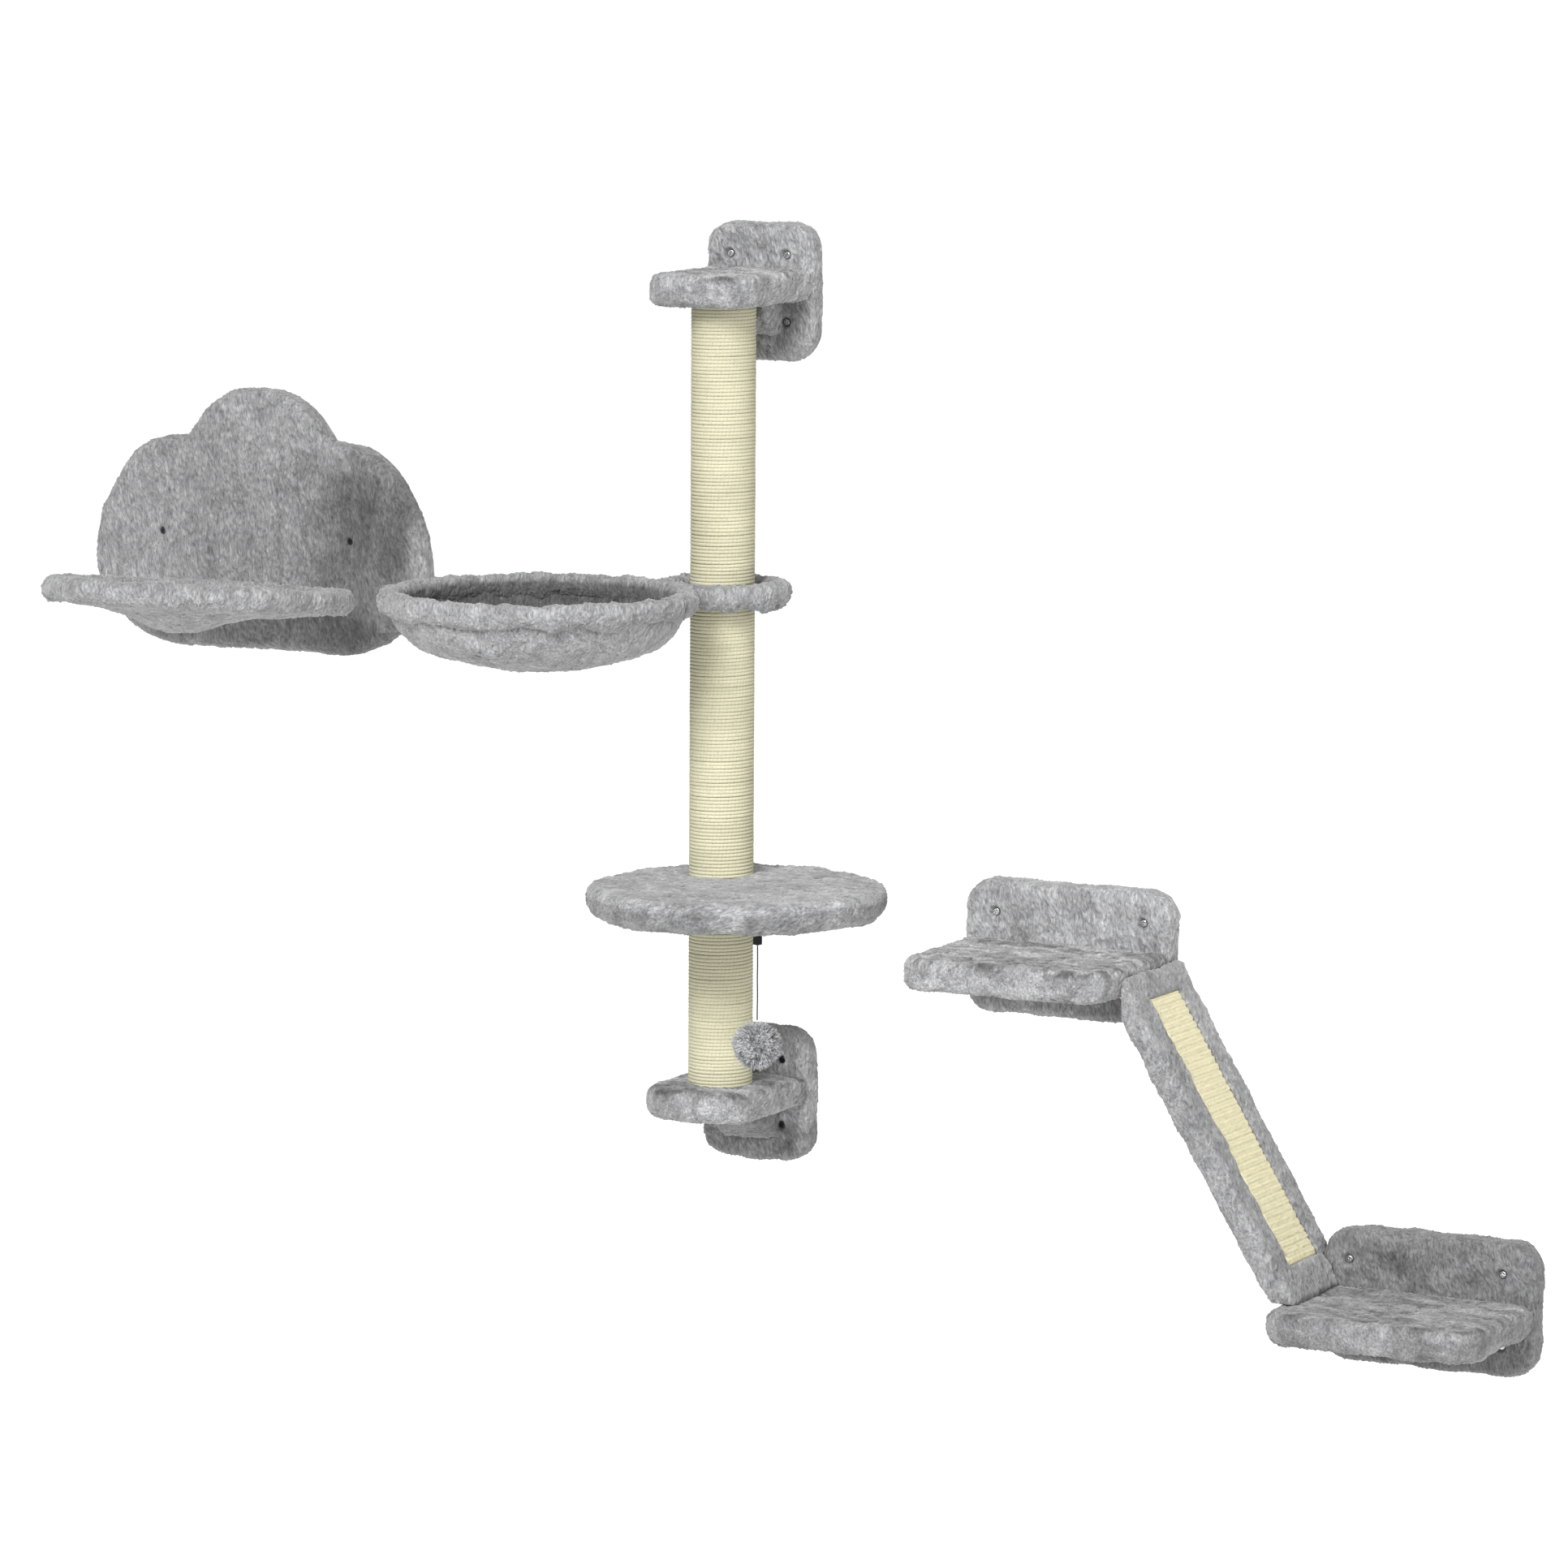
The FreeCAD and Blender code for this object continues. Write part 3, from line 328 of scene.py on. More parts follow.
# ------------------------------------------------------------------ materials
class Mat:
    def __init__(self, name):
        self.m = bpy.data.materials.new(name)
        self.m.use_nodes = True
        self.t = self.m.node_tree
        self.t.nodes.clear()
        self.out = self.n("ShaderNodeOutputMaterial")
        self.p = self.n("ShaderNodeBsdfPrincipled")
        self.link(self.p.outputs["BSDF"], self.out.inputs["Surface"])

    def n(self, kind, **props):
        node = self.t.nodes.new(kind)
        for k, v in props.items():
            setattr(node, k, v)
        return node

    def link(self, a, b):
        self.t.links.new(a, b)

    def attr(self, name, out="Fac"):
        return self.n("ShaderNodeAttribute", attribute_name=name, attribute_type="GEOMETRY").outputs[out]

    def object_coords(self):
        return self.n("ShaderNodeTexCoord").outputs["Object"]

    def scaled(self, vec, s):
        m = self.n("ShaderNodeMapping")
        self.link(vec, m.inputs["Vector"])
        m.inputs["Scale"].default_value = s
        return m.outputs["Vector"]

    def noise(self, vec, scale, detail=2.0, rough=0.5, distortion=0.0):
        t = self.n("ShaderNodeTexNoise")
        if vec is not None:
            self.link(vec, t.inputs["Vector"])
        t.inputs["Scale"].default_value = scale
        t.inputs["Detail"].default_value = detail
        t.inputs["Roughness"].default_value = rough
        t.inputs["Distortion"].default_value = distortion
        return t.outputs["Fac"]

    def ranged(self, x, a, b, c, d, clamp=True):
        r = self.n("ShaderNodeMapRange", clamp=clamp)
        self.link(x, r.inputs["Value"])
        for k, val in zip(("From Min", "From Max", "To Min", "To Max"), (a, b, c, d)):
            r.inputs[k].default_value = val
        return r.outputs["Result"]

    def math(self, op, a, b=None, clamp=False):
        m = self.n("ShaderNodeMath", operation=op, use_clamp=clamp)
        for i, x in enumerate((a, b)):
            if x is None:
                continue
            if isinstance(x, (int, float)):
                m.inputs[i].default_value = x
            else:
                self.link(x, m.inputs[i])
        return m.outputs[0]

    def mix(self, fac, a, b, blend="MIX"):
        m = self.n("ShaderNodeMix", data_type="RGBA", blend_type=blend)
        if isinstance(fac, (int, float)):
            m.inputs[0].default_value = fac
        else:
            self.link(fac, m.inputs[0])
        for i, x in ((6, a), (7, b)):
            if isinstance(x, tuple):
                m.inputs[i].default_value = (*x, 1.0)
            else:
                self.link(x, m.inputs[i])
        return m.outputs[2]

    def ramp(self, fac, stops):
        r = self.n("ShaderNodeValToRGB")
        cr = r.color_ramp
        while len(cr.elements) < len(stops):
            cr.elements.new(0.5)
        for e, (pos, c) in zip(cr.elements, stops):
            e.position = pos
            e.color = (*c, 1.0)
        self.link(fac, r.inputs["Fac"])
        return r.outputs["Color"]

    def grey(self, x):
        c = self.n("ShaderNodeCombineColor")
        for i in range(3):
            self.link(x, c.inputs[i])
        return c.outputs[0]

    def bump(self, height, strength, distance, normal=None):
        b = self.n("ShaderNodeBump")
        b.inputs["Strength"].default_value = strength
        b.inputs["Distance"].default_value = distance
        self.link(height, b.inputs["Height"])
        if normal is not None:
            self.link(normal, b.inputs["Normal"])
        return b.outputs["Normal"]

    def set(self, **vals):
        names = {
            "color": "Base Color", "rough": "Roughness", "metal": "Metallic", "normal": "Normal",
            "sheen": "Sheen Weight", "sheen_rough": "Sheen Roughness", "spec": "Specular IOR Level",
        }
        for k, v in vals.items():
            s = self.p.inputs[names[k]]
            if isinstance(v, (int, float)):
                s.default_value = v
            elif isinstance(v, tuple):
                s.default_value = (*v, 1.0)
            else:
                self.link(v, s)
        return self.m


def plush_material(name, root, mid, tip, patch=0.17, streak=0.36, waves=0.20):
    """Short plush pile: dark roots, pale tips, strokes along the comb, blurred darker patches; the tip and shade
    attributes also carry painted shade and painted light.
    """
    k = Mat(name)
    tipf = k.attr("tip")
    comb = k.attr("comb", "Vector")
    obj = k.object_coords()
    strokes = k.noise(k.scaled(comb, (1.5, 1.5, 1.1)), 1.0, 3.0, 0.66, 0.5)
    fine = k.noise(comb, 2.9, 2.0, 0.6)
    f = k.math("ADD", tipf, k.ranged(strokes, 0.33, 0.67, -streak, streak))
    f = k.math("ADD", f, k.ranged(fine, 0.3, 0.7, -0.16, 0.16), clamp=True)
    base = k.ramp(f, [(0.0, root), (0.5, mid), (1.0, tip)])
    spots = k.noise(obj, 24.0, 3.0, 0.62, 0.9)
    broad = k.noise(obj, 9.0, 1.0, 0.5)
    p = k.ranged(spots, 0.34, 0.66, 1.0 - patch, 1.0 + patch * 0.5)
    q = k.ranged(broad, 0.3, 0.7, 0.93, 1.06)
    brushed = k.noise(k.scaled(comb, (0.20, 0.20, 0.22)), 1.0, 2.5, 0.6, 1.4)
    p = k.math("MULTIPLY", p, k.ranged(brushed, 0.38, 0.62, 1.0 - waves, 1.0 + waves * 0.35))
    # painted light and shade: the shade attribute darkens the colour where a piece lies in shade and lightens it where
    # it is lit
    s = k.math("MULTIPLY", k.math("MULTIPLY", p, q), k.attr("shade"))
    color = k.mix(1.0, base, k.grey(s), "MULTIPLY")
    h = k.math("ADD", k.math("MULTIPLY", strokes, 0.7), k.math("MULTIPLY", fine, 0.35))
    return k.set(color=color, rough=0.93, spec=0.12, sheen=0.22, sheen_rough=0.55, normal=k.bump(h, 0.6, 0.0011))


PLUSH = plush_material("grey_plush", (0.110, 0.112, 0.115), (0.218, 0.220, 0.222), (0.335, 0.337, 0.337))
POM = plush_material("pompom_plush", (0.058, 0.060, 0.063), (0.245, 0.248, 0.253), (0.47, 0.475, 0.48), patch=0.10, streak=0.30, waves=0.08)


def rope_material():
    k = Mat("sisal_rope")
    along = k.attr("run", "Vector")      # x: length along the rope, y: round it, z: spare
    obj = k.object_coords()
    fibre = k.noise(k.scaled(along, (0.28, 1.6, 1.0)), 1.6, 3.0, 0.6)
    strand = k.attr("strand")
    tone = k.noise(k.scaled(obj, (14.0, 14.0, 60.0)), 1.0, 2.0, 0.5)
    blot = k.noise(obj, 9.0, 1.0, 0.5)
    # painted shade: the strand value darkens the rope in the grooves between turns
    f = k.math("ADD", k.math("MULTIPLY", strand, 0.62), k.ranged(fibre, 0.25, 0.75, -0.12, 0.34), clamp=True)
    t = k.math("MULTIPLY", k.ranged(tone, 0.3, 0.7, 0.92, 1.05), k.ranged(blot, 0.3, 0.7, 0.96, 1.04))
    so = k.n("ShaderNodeSeparateXYZ")
    k.link(obj, so.inputs[0])
    # painted shade: the colour is darkened towards the top of the post, where the high key lamp lights the rope most
    t = k.math("MULTIPLY", t, k.ranged(so.outputs[2], -0.70, -0.05, 0.95, 0.80))
    sx = k.n("ShaderNodeSeparateXYZ")
    k.link(along, sx.inputs[0])
    lay = k.math("SINE", k.math("SUBTRACT", k.math("MULTIPLY", sx.outputs[0], 1.5), k.math("MULTIPLY", sx.outputs[1], 1.3)))
    f = k.math("ADD", f, k.math("MULTIPLY", lay, 0.13), clamp=True)
    c = k.ramp(f, [(0.0, (0.33, 0.305, 0.185)), (0.3, (0.47, 0.445, 0.305)), (0.72, (0.565, 0.545, 0.40)), (1.0, (0.60, 0.585, 0.45))])
    specks = k.noise(k.scaled(along, (0.16, 0.30, 1.0)), 2.2, 2.0, 0.6)
    dark = k.ranged(specks, 0.58, 0.70, 1.0, 0.62)
    c = k.mix(1.0, c, k.grey(k.math("MULTIPLY", t, dark)), "MULTIPLY")
    return k.set(color=c, rough=0.95, spec=0.05, normal=k.bump(fibre, 0.6, 0.0007))


ROPE = rope_material()


def mat_material():
    k = Mat("sisal_mat")
    obj = k.object_coords()
    g = k.attr("weave", "Vector")        # x: across, y: along, in millimetres
    grain = k.noise(k.scaled(g, (0.9, 1.5, 1.0)), 1.0, 3.0, 0.65)
    rows = k.noise(k.scaled(g, (0.04, 0.36, 1.0)), 1.0, 2.0, 0.6)
    tipf = k.attr("tip")
    f = k.math("ADD", k.math("MULTIPLY", tipf, 0.7), k.ranged(grain, 0.25, 0.75, -0.14, 0.42), clamp=True)
    c = k.ramp(f, [(0.0, (0.27, 0.24, 0.135)), (0.4, (0.485, 0.445, 0.29)), (0.75, (0.585, 0.545, 0.375)), (1.0, (0.63, 0.595, 0.43))])
    c = k.mix(1.0, c, k.grey(k.ranged(rows, 0.3, 0.7, 0.90, 1.05)), "MULTIPLY")
    return k.set(color=c, rough=0.9, spec=0.15, normal=k.bump(grain, 0.6, 0.0006))


SISAL_MAT = mat_material()


def wood_material():
    k = Mat("board")
    obj = k.object_coords()
    grain = k.noise(k.scaled(obj, (14.0, 90.0, 160.0)), 1.0, 4.0, 0.6, 0.4)
    fleck = k.noise(obj, 320.0, 2.0, 0.7)
    f = k.math("ADD", k.math("MULTIPLY", grain, 0.75), k.math("MULTIPLY", fleck, 0.25))
    c = k.ramp(f, [(0.3, (0.36, 0.25, 0.145)), (0.5, (0.52, 0.385, 0.235)), (0.7, (0.62, 0.48, 0.31))])
    return k.set(color=c, rough=0.78, spec=0.25, normal=k.bump(f, 0.35, 0.0005))


def card_material():
    k = Mat("card_tube")
    obj = k.object_coords()
    n = k.noise(k.scaled(obj, (60.0, 60.0, 160.0)), 1.0, 3.0, 0.6)
    c = k.ramp(n, [(0.3, (0.30, 0.215, 0.135)), (0.7, (0.42, 0.31, 0.20))])
    return k.set(color=c, rough=0.9, spec=0.2, normal=k.bump(n, 0.3, 0.0003))


def steel_material(name, a, b, rough):
    k = Mat(name)
    obj = k.object_coords()
    n = k.noise(obj, 380.0, 3.0, 0.6)
    c = k.ramp(n, [(0.3, a), (0.7, b)])
    return k.set(color=c, metal=1.0, rough=k.ranged(n, 0.3, 0.7, rough - 0.07, rough + 0.1), normal=k.bump(n, 0.12, 0.0002))


def plastic_material(name, a, b, rough, scale=420.0):
    k = Mat(name)
    obj = k.object_coords()
    n = k.noise(obj, scale, 3.0, 0.6)
    c = k.ramp(n, [(0.3, a), (0.7, b)])
    return k.set(color=c, rough=k.ranged(n, 0.3, 0.7, rough - 0.06, rough + 0.08), spec=0.15, normal=k.bump(n, 0.2, 0.0002))


WOOD = wood_material()
CARD = card_material()
WIRE = steel_material("wire_steel", (0.38, 0.38, 0.385), (0.50, 0.50, 0.50), 0.42)
ZINC = steel_material("zinc_steel", (0.52, 0.53, 0.54), (0.66, 0.67, 0.68), 0.34)
BRIGHT = steel_material("bright_screw", (0.34, 0.345, 0.35), (0.58, 0.585, 0.59), 0.26)
DARK = steel_material("dark_screw", (0.045, 0.045, 0.048), (0.075, 0.075, 0.08), 0.38)
BLACK = plastic_material("black_plastic", (0.006, 0.006, 0.007), (0.014, 0.014, 0.015), 0.6)
STRING = plastic_material("black_string", (0.008, 0.008, 0.009), (0.022, 0.022, 0.023), 0.75, 1400.0)
LINING = plastic_material("white_backing", (0.80, 0.80, 0.79), (0.90, 0.90, 0.89), 0.85, 900.0)

CAD_LOOKS = {
    "wood": WOOD, "board": WOOD, "gusset": WOOD, "plugs": WOOD, "tube": CARD, "frame": WIRE,
    "rods": ZINC, "bolts": ZINC, "washers": ZINC, "angles": ZINC, "screws": BRIGHT,
    "plug": BLACK, "knot": STRING,
}
DARK_SCREWS = ("bottom_bracket_wall_screws", "lounger_wall_screws")
for node_name, ob in nodes_in.items():
    look = None
    for word, m in CAD_LOOKS.items():
        if node_name.endswith(word):
            look = m
    if node_name in DARK_SCREWS:
        look = DARK
    if node_name in ("ramp_angle_screws", "ramp_foot_screws", "shelf_joining_screws"):
        look = ZINC
    if look is not None:
        ob.data.materials.clear()
        ob.data.materials.append(look)


# ------------------------------------------------------------------ plush pile
def pile(v, quads, seed, comb=(0.25, -0.15, -1.0), width=3.1, length=8.0, und=1.5, clump=1.0, tuft=1.9, strand=0.9,
         lean=2.0, base=1.2, amount=None, press=(), dents=(), shade=1.0, swirl=0.7, und_size=36.0, crease=0.22):
    """Displaces an even surface into tufts of pile combed one way. Returns the points and what the material reads."""
    v = relax(v, quads, 2, 0.5)
    n = normals(v, quads)
    g = np.array(comb, float)
    g /= np.linalg.norm(g)
    warp = np.stack([fbm(v / 42.0, seed + 31 + i, 2) for i in range(3)], 1)
    warp2 = np.stack([fbm(v / 15.0, seed + 41 + i, 2) for i in range(3)], 1)
    way = g + swirl * 1.6 * warp + 0.5 * warp2
    way -= n * np.sum(way * n, 1)[:, None]
    way /= np.maximum(np.linalg.norm(way, axis=1), 0.3)[:, None]
    a = g
    b = np.cross(a, [0.0, 0.0, 1.0]) if abs(a[2]) < 0.9 else np.cross(a, [0.0, 1.0, 0.0])
    b /= np.linalg.norm(b)
    c = np.cross(a, b)
    w = v + 11.0 * warp * swirl + 2.2 * warp2
    q = np.stack([w @ b / width, w @ c / width, w @ a / length], 1)
    d1, d2, rnd = cells(q, seed)
    h = np.clip(1.0 - d1 / 0.85, 0, 1) * (0.65 + 0.5 * rnd)
    split = np.clip((d2 - d1) * 2.2, 0, 1)
    fine = noise(np.stack([w @ b / (width * 0.46), w @ c / (width * 0.46), w @ a / (length * 0.5)], 1), seed + 3)
    big = fbm(w / 11.0, seed + 7, 2)
    low = fbm(v / und_size, seed + 11, 2)
    k = np.ones(len(v)) if amount is None else amount
    d = base + 2.0 * und * low + 1.6 * clump * big + k * (tuft * h * (0.55 + 0.45 * split) + strand * (fine - 0.5))
    d = np.where(k < 1, d * (0.25 + 0.75 * k), d)
    out = v + n * d[:, None] + way * (lean * k * (h - 0.35) + 0.8 * k * (fine - 0.5))[:, None]
    # pale tips on the raised tufts and dark roots in the hollows between them: the pile's own colour and painted shade
    # deep in the pile
    tip = np.clip(0.36 + 0.26 * h + 0.12 * split + 0.26 * (fine - 0.5) + 0.13 * big, 0, 1)
    s = np.ones(len(v)) * shade
    # painted shade: thin crease lines where the pile parts are sunk 0.9 mm and darkened in colour
    if crease > 0:
        fold = fbm(np.stack([w @ b / 17.0, w @ c / 17.0, w @ a / 46.0], 1), seed + 21, 3)
        here = smooth01((noise(v / 38.0, seed + 25) - 0.34) / 0.3) * k
        line = (1.0 - smooth01(np.abs(fold) / 0.055)) * here
        out -= n * (0.9 * line)[:, None]
        s *= 1.0 - crease * line
    # painted shade: each dent is darkened in colour as well as sunk
    for (cx, cy, cz), r, depth in dents:
        t = np.linalg.norm(v - np.array([cx, cy, cz]), axis=1)
        m = 1.0 - smooth01(t / r)
        out -= n * (depth * m)[:, None]
        s *= 1.0 - 0.30 * m
    # pile pressed flat round each screw head; painted shade darkens the hollow, in its shade and in its tip value
    for (cx, cz), y_seat, r0, r1 in press:
        t = np.hypot(out[:, 0] - cx, out[:, 2] - cz)
        m = (1.0 - smooth01((t - r0) / (r1 - r0))) * (n[:, 1] < -0.3)
        target = np.minimum(y_seat, 99.0) - 0.5 * (fine - 0.5)
        out[:, 1] += m * np.maximum(target - out[:, 1], 0)
        s *= 1.0 - 0.25 * m * smooth01((t - 2.0) / 3.0)
        tip *= 1.0 - 0.3 * m
    return out, {"tip": tip, "shade": s, "comb": q * 1.0}


def cover(name, field, lo, ax_h, body, node, seed, mat=None, transform=None, fill=0.9, extra_replaces=(), soft=None, **kw):
    """Surface of a distance field, given its pile, made an object that stands for a CAD cover."""
    v, quads = nets(field, lo, ax_h)
    if transform is not None:
        v = transform(v)
    for key in ("amount", "shade"):
        if callable(kw.get(key)):
            kw[key] = kw[key](v, normals(v, quads))
    if callable(kw.get("late")):
        late = kw.pop("late")
    else:
        late = None
        kw.pop("late", None)
    v, attrs = pile(v, quads, seed, **kw)
    if late is not None:
        v, attrs = late(v, attrs)
    ob = new_object(name, v, quads, mat or PLUSH, attrs)
    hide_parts(node, *extra_replaces)
    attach(ob, body)
    if soft is None:
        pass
    else:
        soft(ob)
    return ob


# shared sizes, as the boards have them
PLATE_T, SHELF_T, PILE_T = 35.0, 36.0, 8.0
IN = 2.2          # the cloth under the pile lies this far inside the outer surface
SEAT = -28.6      # pile pressed flat under a wall screw's head


def wall_field(cx, cz, d2_of, d2_window, hx, hz, h):
    """A covered wall board: rounded in front, folded over behind with the bare board in the window."""
    lo, ax = grid((cx - hx, -PLATE_T + IN, cz - hz), (cx + hx, -0.6, cz + hz), h)
    X, Z = ax[0][:, None, None], ax[2][None, None, :]
    Y = ax[1][None, :, None]
    d2 = d2_of(X[:, 0, :], Z[0, :, :] if False else Z[:, 0, :])[:, None, :]
    dw = d2_window(X[:, 0, :], Z[:, 0, :])[:, None, :]
    d = sd_slab(d2, Y, -PLATE_T + IN + 0.4, -0.9, 9.0, 3.0)
    hole = sd_slab(dw, Y, -5.0, 6.0, 1.0, 1.0)
    # a hollow that holds the board itself, so that the cloth is a skin round it
    return lo, np.maximum(d, -hole)


def prefix_dark(z):
    """The lower post bracket has dark heads, sunk deeper in the pile."""
    return -960.0 < z < -840.0


def wall_cover(name, node, cx, cz, w, hh, r, screws, seed, h, shade=1.0, dents=(), comb=(0.3, -0.1, -1.0), **kw):
    d2 = lambda x, z: sd_rrect(x - cx, z - cz, w - 2 * IN, hh - 2 * IN, r - IN)
    dw = lambda x, z: sd_rrect(x - cx, z - cz, w - 2 * PILE_T - 40.0, hh - 2 * PILE_T - 40.0, 8.0)
    lo, f = wall_field(cx, cz, d2, dw, w / 2 - IN, hh / 2 - IN, h)
    f = np.asarray(f, np.float32)
    press = [((sx, sz), SEAT, 2.9 if prefix_dark(sz) else 3.8, 6.4 if prefix_dark(sz) else 7.8) for sx, sz in screws]

    def amount(v, n):
        back = smooth01((v[:, 1] + 6.0) / 4.0)
        return 1.0 - 0.93 * back

    def late(v, attrs):
        v[:, 1] = np.minimum(v[:, 1], -0.35)
        return v, attrs

    return cover(name, f, lo, h, "wall_frame", node, seed, comb=comb, press=press, dents=dents,
                 shade=shade, amount=amount, late=late, **kw)


def shelf_cover(name, node, cx, w, depth, z0, z1, r, seed, h, shade=1.0, comb=(0.25, -1.0, -0.35), **kw):
    yb, yf = -PLATE_T + 4.0, -PLATE_T - depth
    lo, ax = grid((cx - w / 2 + IN, yf + IN, z0 + IN), (cx + w / 2 - IN, yb, z1 - IN), h)
    X, Y, Z = ax[0][:, None, None], ax[1][None, :, None], ax[2][None, None, :]
    mid = (yb + yf + IN) / 2
    v = Y[:, :, 0] - mid
    rr = np.where(v < 0, r - IN, 0.5)
    d2 = sd_rrect(X[:, :, 0] - cx, v, w - 2 * IN, yb - yf - IN, rr)[:, :, None]
    f = sd_slab(d2, Z, z0 + IN + 0.2, z1 - IN + 0.2, 11.5, 10.5).astype(np.float32)

    def stroked(v, n):
        # pile stroked flat in places: darker runs and paler ridges, mostly on top
        top = 0.45 + 0.55 * smooth01((n[:, 2] - 0.3) / 0.4)
        w = v + 26.0 * np.stack([fbm(v / 34.0, seed + 61 + i, 2) for i in range(3)], 1)
        run = fbm(np.stack([w[:, 0] / 46.0, w[:, 1] / 19.0, w[:, 2] / 30.0], 1), seed + 71, 3)
        thin = fbm(np.stack([w[:, 0] / 19.0, w[:, 1] / 6.5, w[:, 2] / 12.0], 1), seed + 72, 3)
        return shade * (1.03 + top * (2.0 * np.clip(run, -0.17, 0.10) + 1.8 * np.clip(thin, -0.17, 0.08)))

    return cover(name, f, lo, h, "wall_frame", node, seed, comb=comb, shade=stroked, **kw)


def gusset_cover(name, node, cx, z0, seed, h, shade):
    """The small sloped block in the corner under a bracket's shelf."""
    w, dep, hh = 66.0, 40.0, 38.0
    yb, yf, zt, zb = -PLATE_T + 4.0, -PLATE_T - dep, z0 + 5.0, z0 - hh
    lo, ax = grid((cx - w / 2, yf, zb), (cx + w / 2, yb, zt), h)
    X, Y, Z = ax[0][:, None, None], ax[1][None, :, None], ax[2][None, None, :]
    fx = np.abs(X - cx) - w / 2 + IN
    fy = -(Y - yf) + IN
    fz = -(Z - zb) + IN
    # slope from the front's lower edge back to the wall board
    a, b = np.array([yf, z0 - 16.0]), np.array([-PLATE_T - 14.0, zb])
    t = (b - a) / np.linalg.norm(b - a)
    nn = np.array([t[1], -t[0]])
    if nn[0] > 0:
        nn = -nn
    fs = (Y - a[0]) * nn[0] + (Z - a[1]) * nn[1] + IN
    fb = (Y - yb)
    ft = (Z - zt)
    q = [fx + 6.0, np.maximum(np.maximum(fy, fz), fs) + 6.0, np.maximum(fb, ft) + 6.0]
    inside = np.maximum(np.maximum(q[0], q[1]), q[2])
    f = np.minimum(inside, 0) + np.sqrt(np.maximum(q[0], 0) ** 2 + np.maximum(q[1], 0) ** 2 + np.maximum(q[2], 0) ** 2) - 6.0
    return cover(name, np.asarray(f + 0 * X, np.float32), lo, h, "wall_frame", node, seed, comb=(0.2, -0.4, -1.0), shade=shade)


# ------------------------------------------------------------------ post brackets
BR_W, BR_H, BR_R = 134.0, 152.0, 32.0


def bracket(prefix, cz, seed, dents, shade):
    screws = [(i * 35.0, cz + j * 37.0) for i in (-1, 1) for j in (-1, 1)]
    wall_cover(prefix + "_plate_plush", prefix + "_wall_cover", 0.0, cz - 4.0, BR_W, BR_H, BR_R, screws, seed, 1.3, shade=shade, dents=dents)
    shelf_cover(prefix + "_shelf_plush", prefix + "_shelf_cover", 0.0, BR_W, 156.0, cz - 14.0, cz + 22.0, 35.0, seed + 1, 1.4, crease=0.26)
    # painted shade: the lower bracket's corner block is darkened to 0.70
    gusset_cover(prefix + "_corner_plush", prefix + "_gusset_cover", 0.0, cz - 14.0, seed + 2, 1.3, 1.0 if cz > -100 else 0.70)


def upper_plate_shade(v, n):
    # painted shadow: the plate is darkened below the shelf, on its left and middle part
    under = smooth01((-8.0 - v[:, 2]) / 14.0) * smooth01((62.0 - v[:, 0]) / 14.0) * smooth01((v[:, 2] + 66.0) / 22.0)
    return 1.05 - 0.26 * under


bracket("top_bracket", 0.0, 100, [((4.0, -31.0, 44.0), 11.0, 2.2), ((-34.0, -31.0, 52.0), 10.0, 1.6), ((46.0, -31.0, 26.0), 9.0, 1.4),
                                 ((-50.0, -31.0, 30.0), 9.0, 1.5), ((30.0, -31.0, -58.0), 14.0, 2.0)], upper_plate_shade)


def lower_plate_shade(v, n):
    # painted light and shadow: the plate is lightened overall and darkened below its shelf, where the shelf's shadow
    # falls
    low = smooth01((-903.0 - 18.0 - v[:, 2]) / 30.0)
    return 1.16 - 0.48 * low


bracket("bottom_bracket", -903.0, 120, [((20.0, -31.0, -948.0), 12.0, 2.0), ((45.0, -31.0, -960.0), 12.0, 1.6)], lower_plate_shade)

# ------------------------------------------------------------------ round platform
def platform():
    cx, cy, r, z0, z1, h = 52.0, -178.0, 166.0, -680.0, -646.0, 1.6
    lo, ax = grid((cx - r, cy - r, z0 + IN), (cx + r, cy + r, z1 - IN), h)
    X, Y, Z = ax[0][:, None, None], ax[1][None, :, None], ax[2][None, None, :]
    ang = np.arctan2(Y - cy, X - cx)
    wob = 0.8 * np.sin(3 * ang + 0.7) + 0.6 * np.sin(7 * ang + 2.0)
    d2 = np.hypot(X - cx, Y - cy) - (r - IN) - wob
    f = sd_slab(d2, Z + 0 * X, z0 + IN + 0.3, z1 - IN, 12.0, 12.5).astype(np.float32)

    def shade(v, n):
        # painted light: the top face is lighter than the rim; the rim's patches and the thin streaks are random tone
        top = smooth01(n[:, 2] * 1.6)
        patch = np.clip(fbm(v / np.array([34.0, 34.0, 18.0]), 145, 3), -0.35, 0.25)
        thin = np.clip(fbm(v / np.array([22.0, 7.0, 9.0]), 146, 3), -0.35, 0.25)
        return (0.79 + 0.35 * top) * (1.0 + (1.0 - top) * 0.75 * patch + (0.22 + 0.16 * top) * thin)

    cover("platform_plush", f, lo, h, "wall_frame", "platform_cover", 140, comb=(-0.75, -0.55, -0.25), shade=shade)


platform()

# ------------------------------------------------------------------ cloud-shaped backboard
LO_X = -651.0
LO_HALF = [(0.0, -139.0), (25.0, -142.0), (50.0, -151.0), (72.0, -166.0), (87.0, -184.0), (96.0, -197.0)]
LO_LOBE = [(96.0, -197.0), (121.0, -198.5), (148.0, -206.0), (171.0, -222.0), (189.0, -244.0), (203.5, -270.0), (214.5, -295.0),
           (221.0, -321.0), (223.0, -341.0), (217.5, -370.0), (201.0, -398.0), (176.5, -420.0), (147.0, -435.5), (114.0, -443.0)]


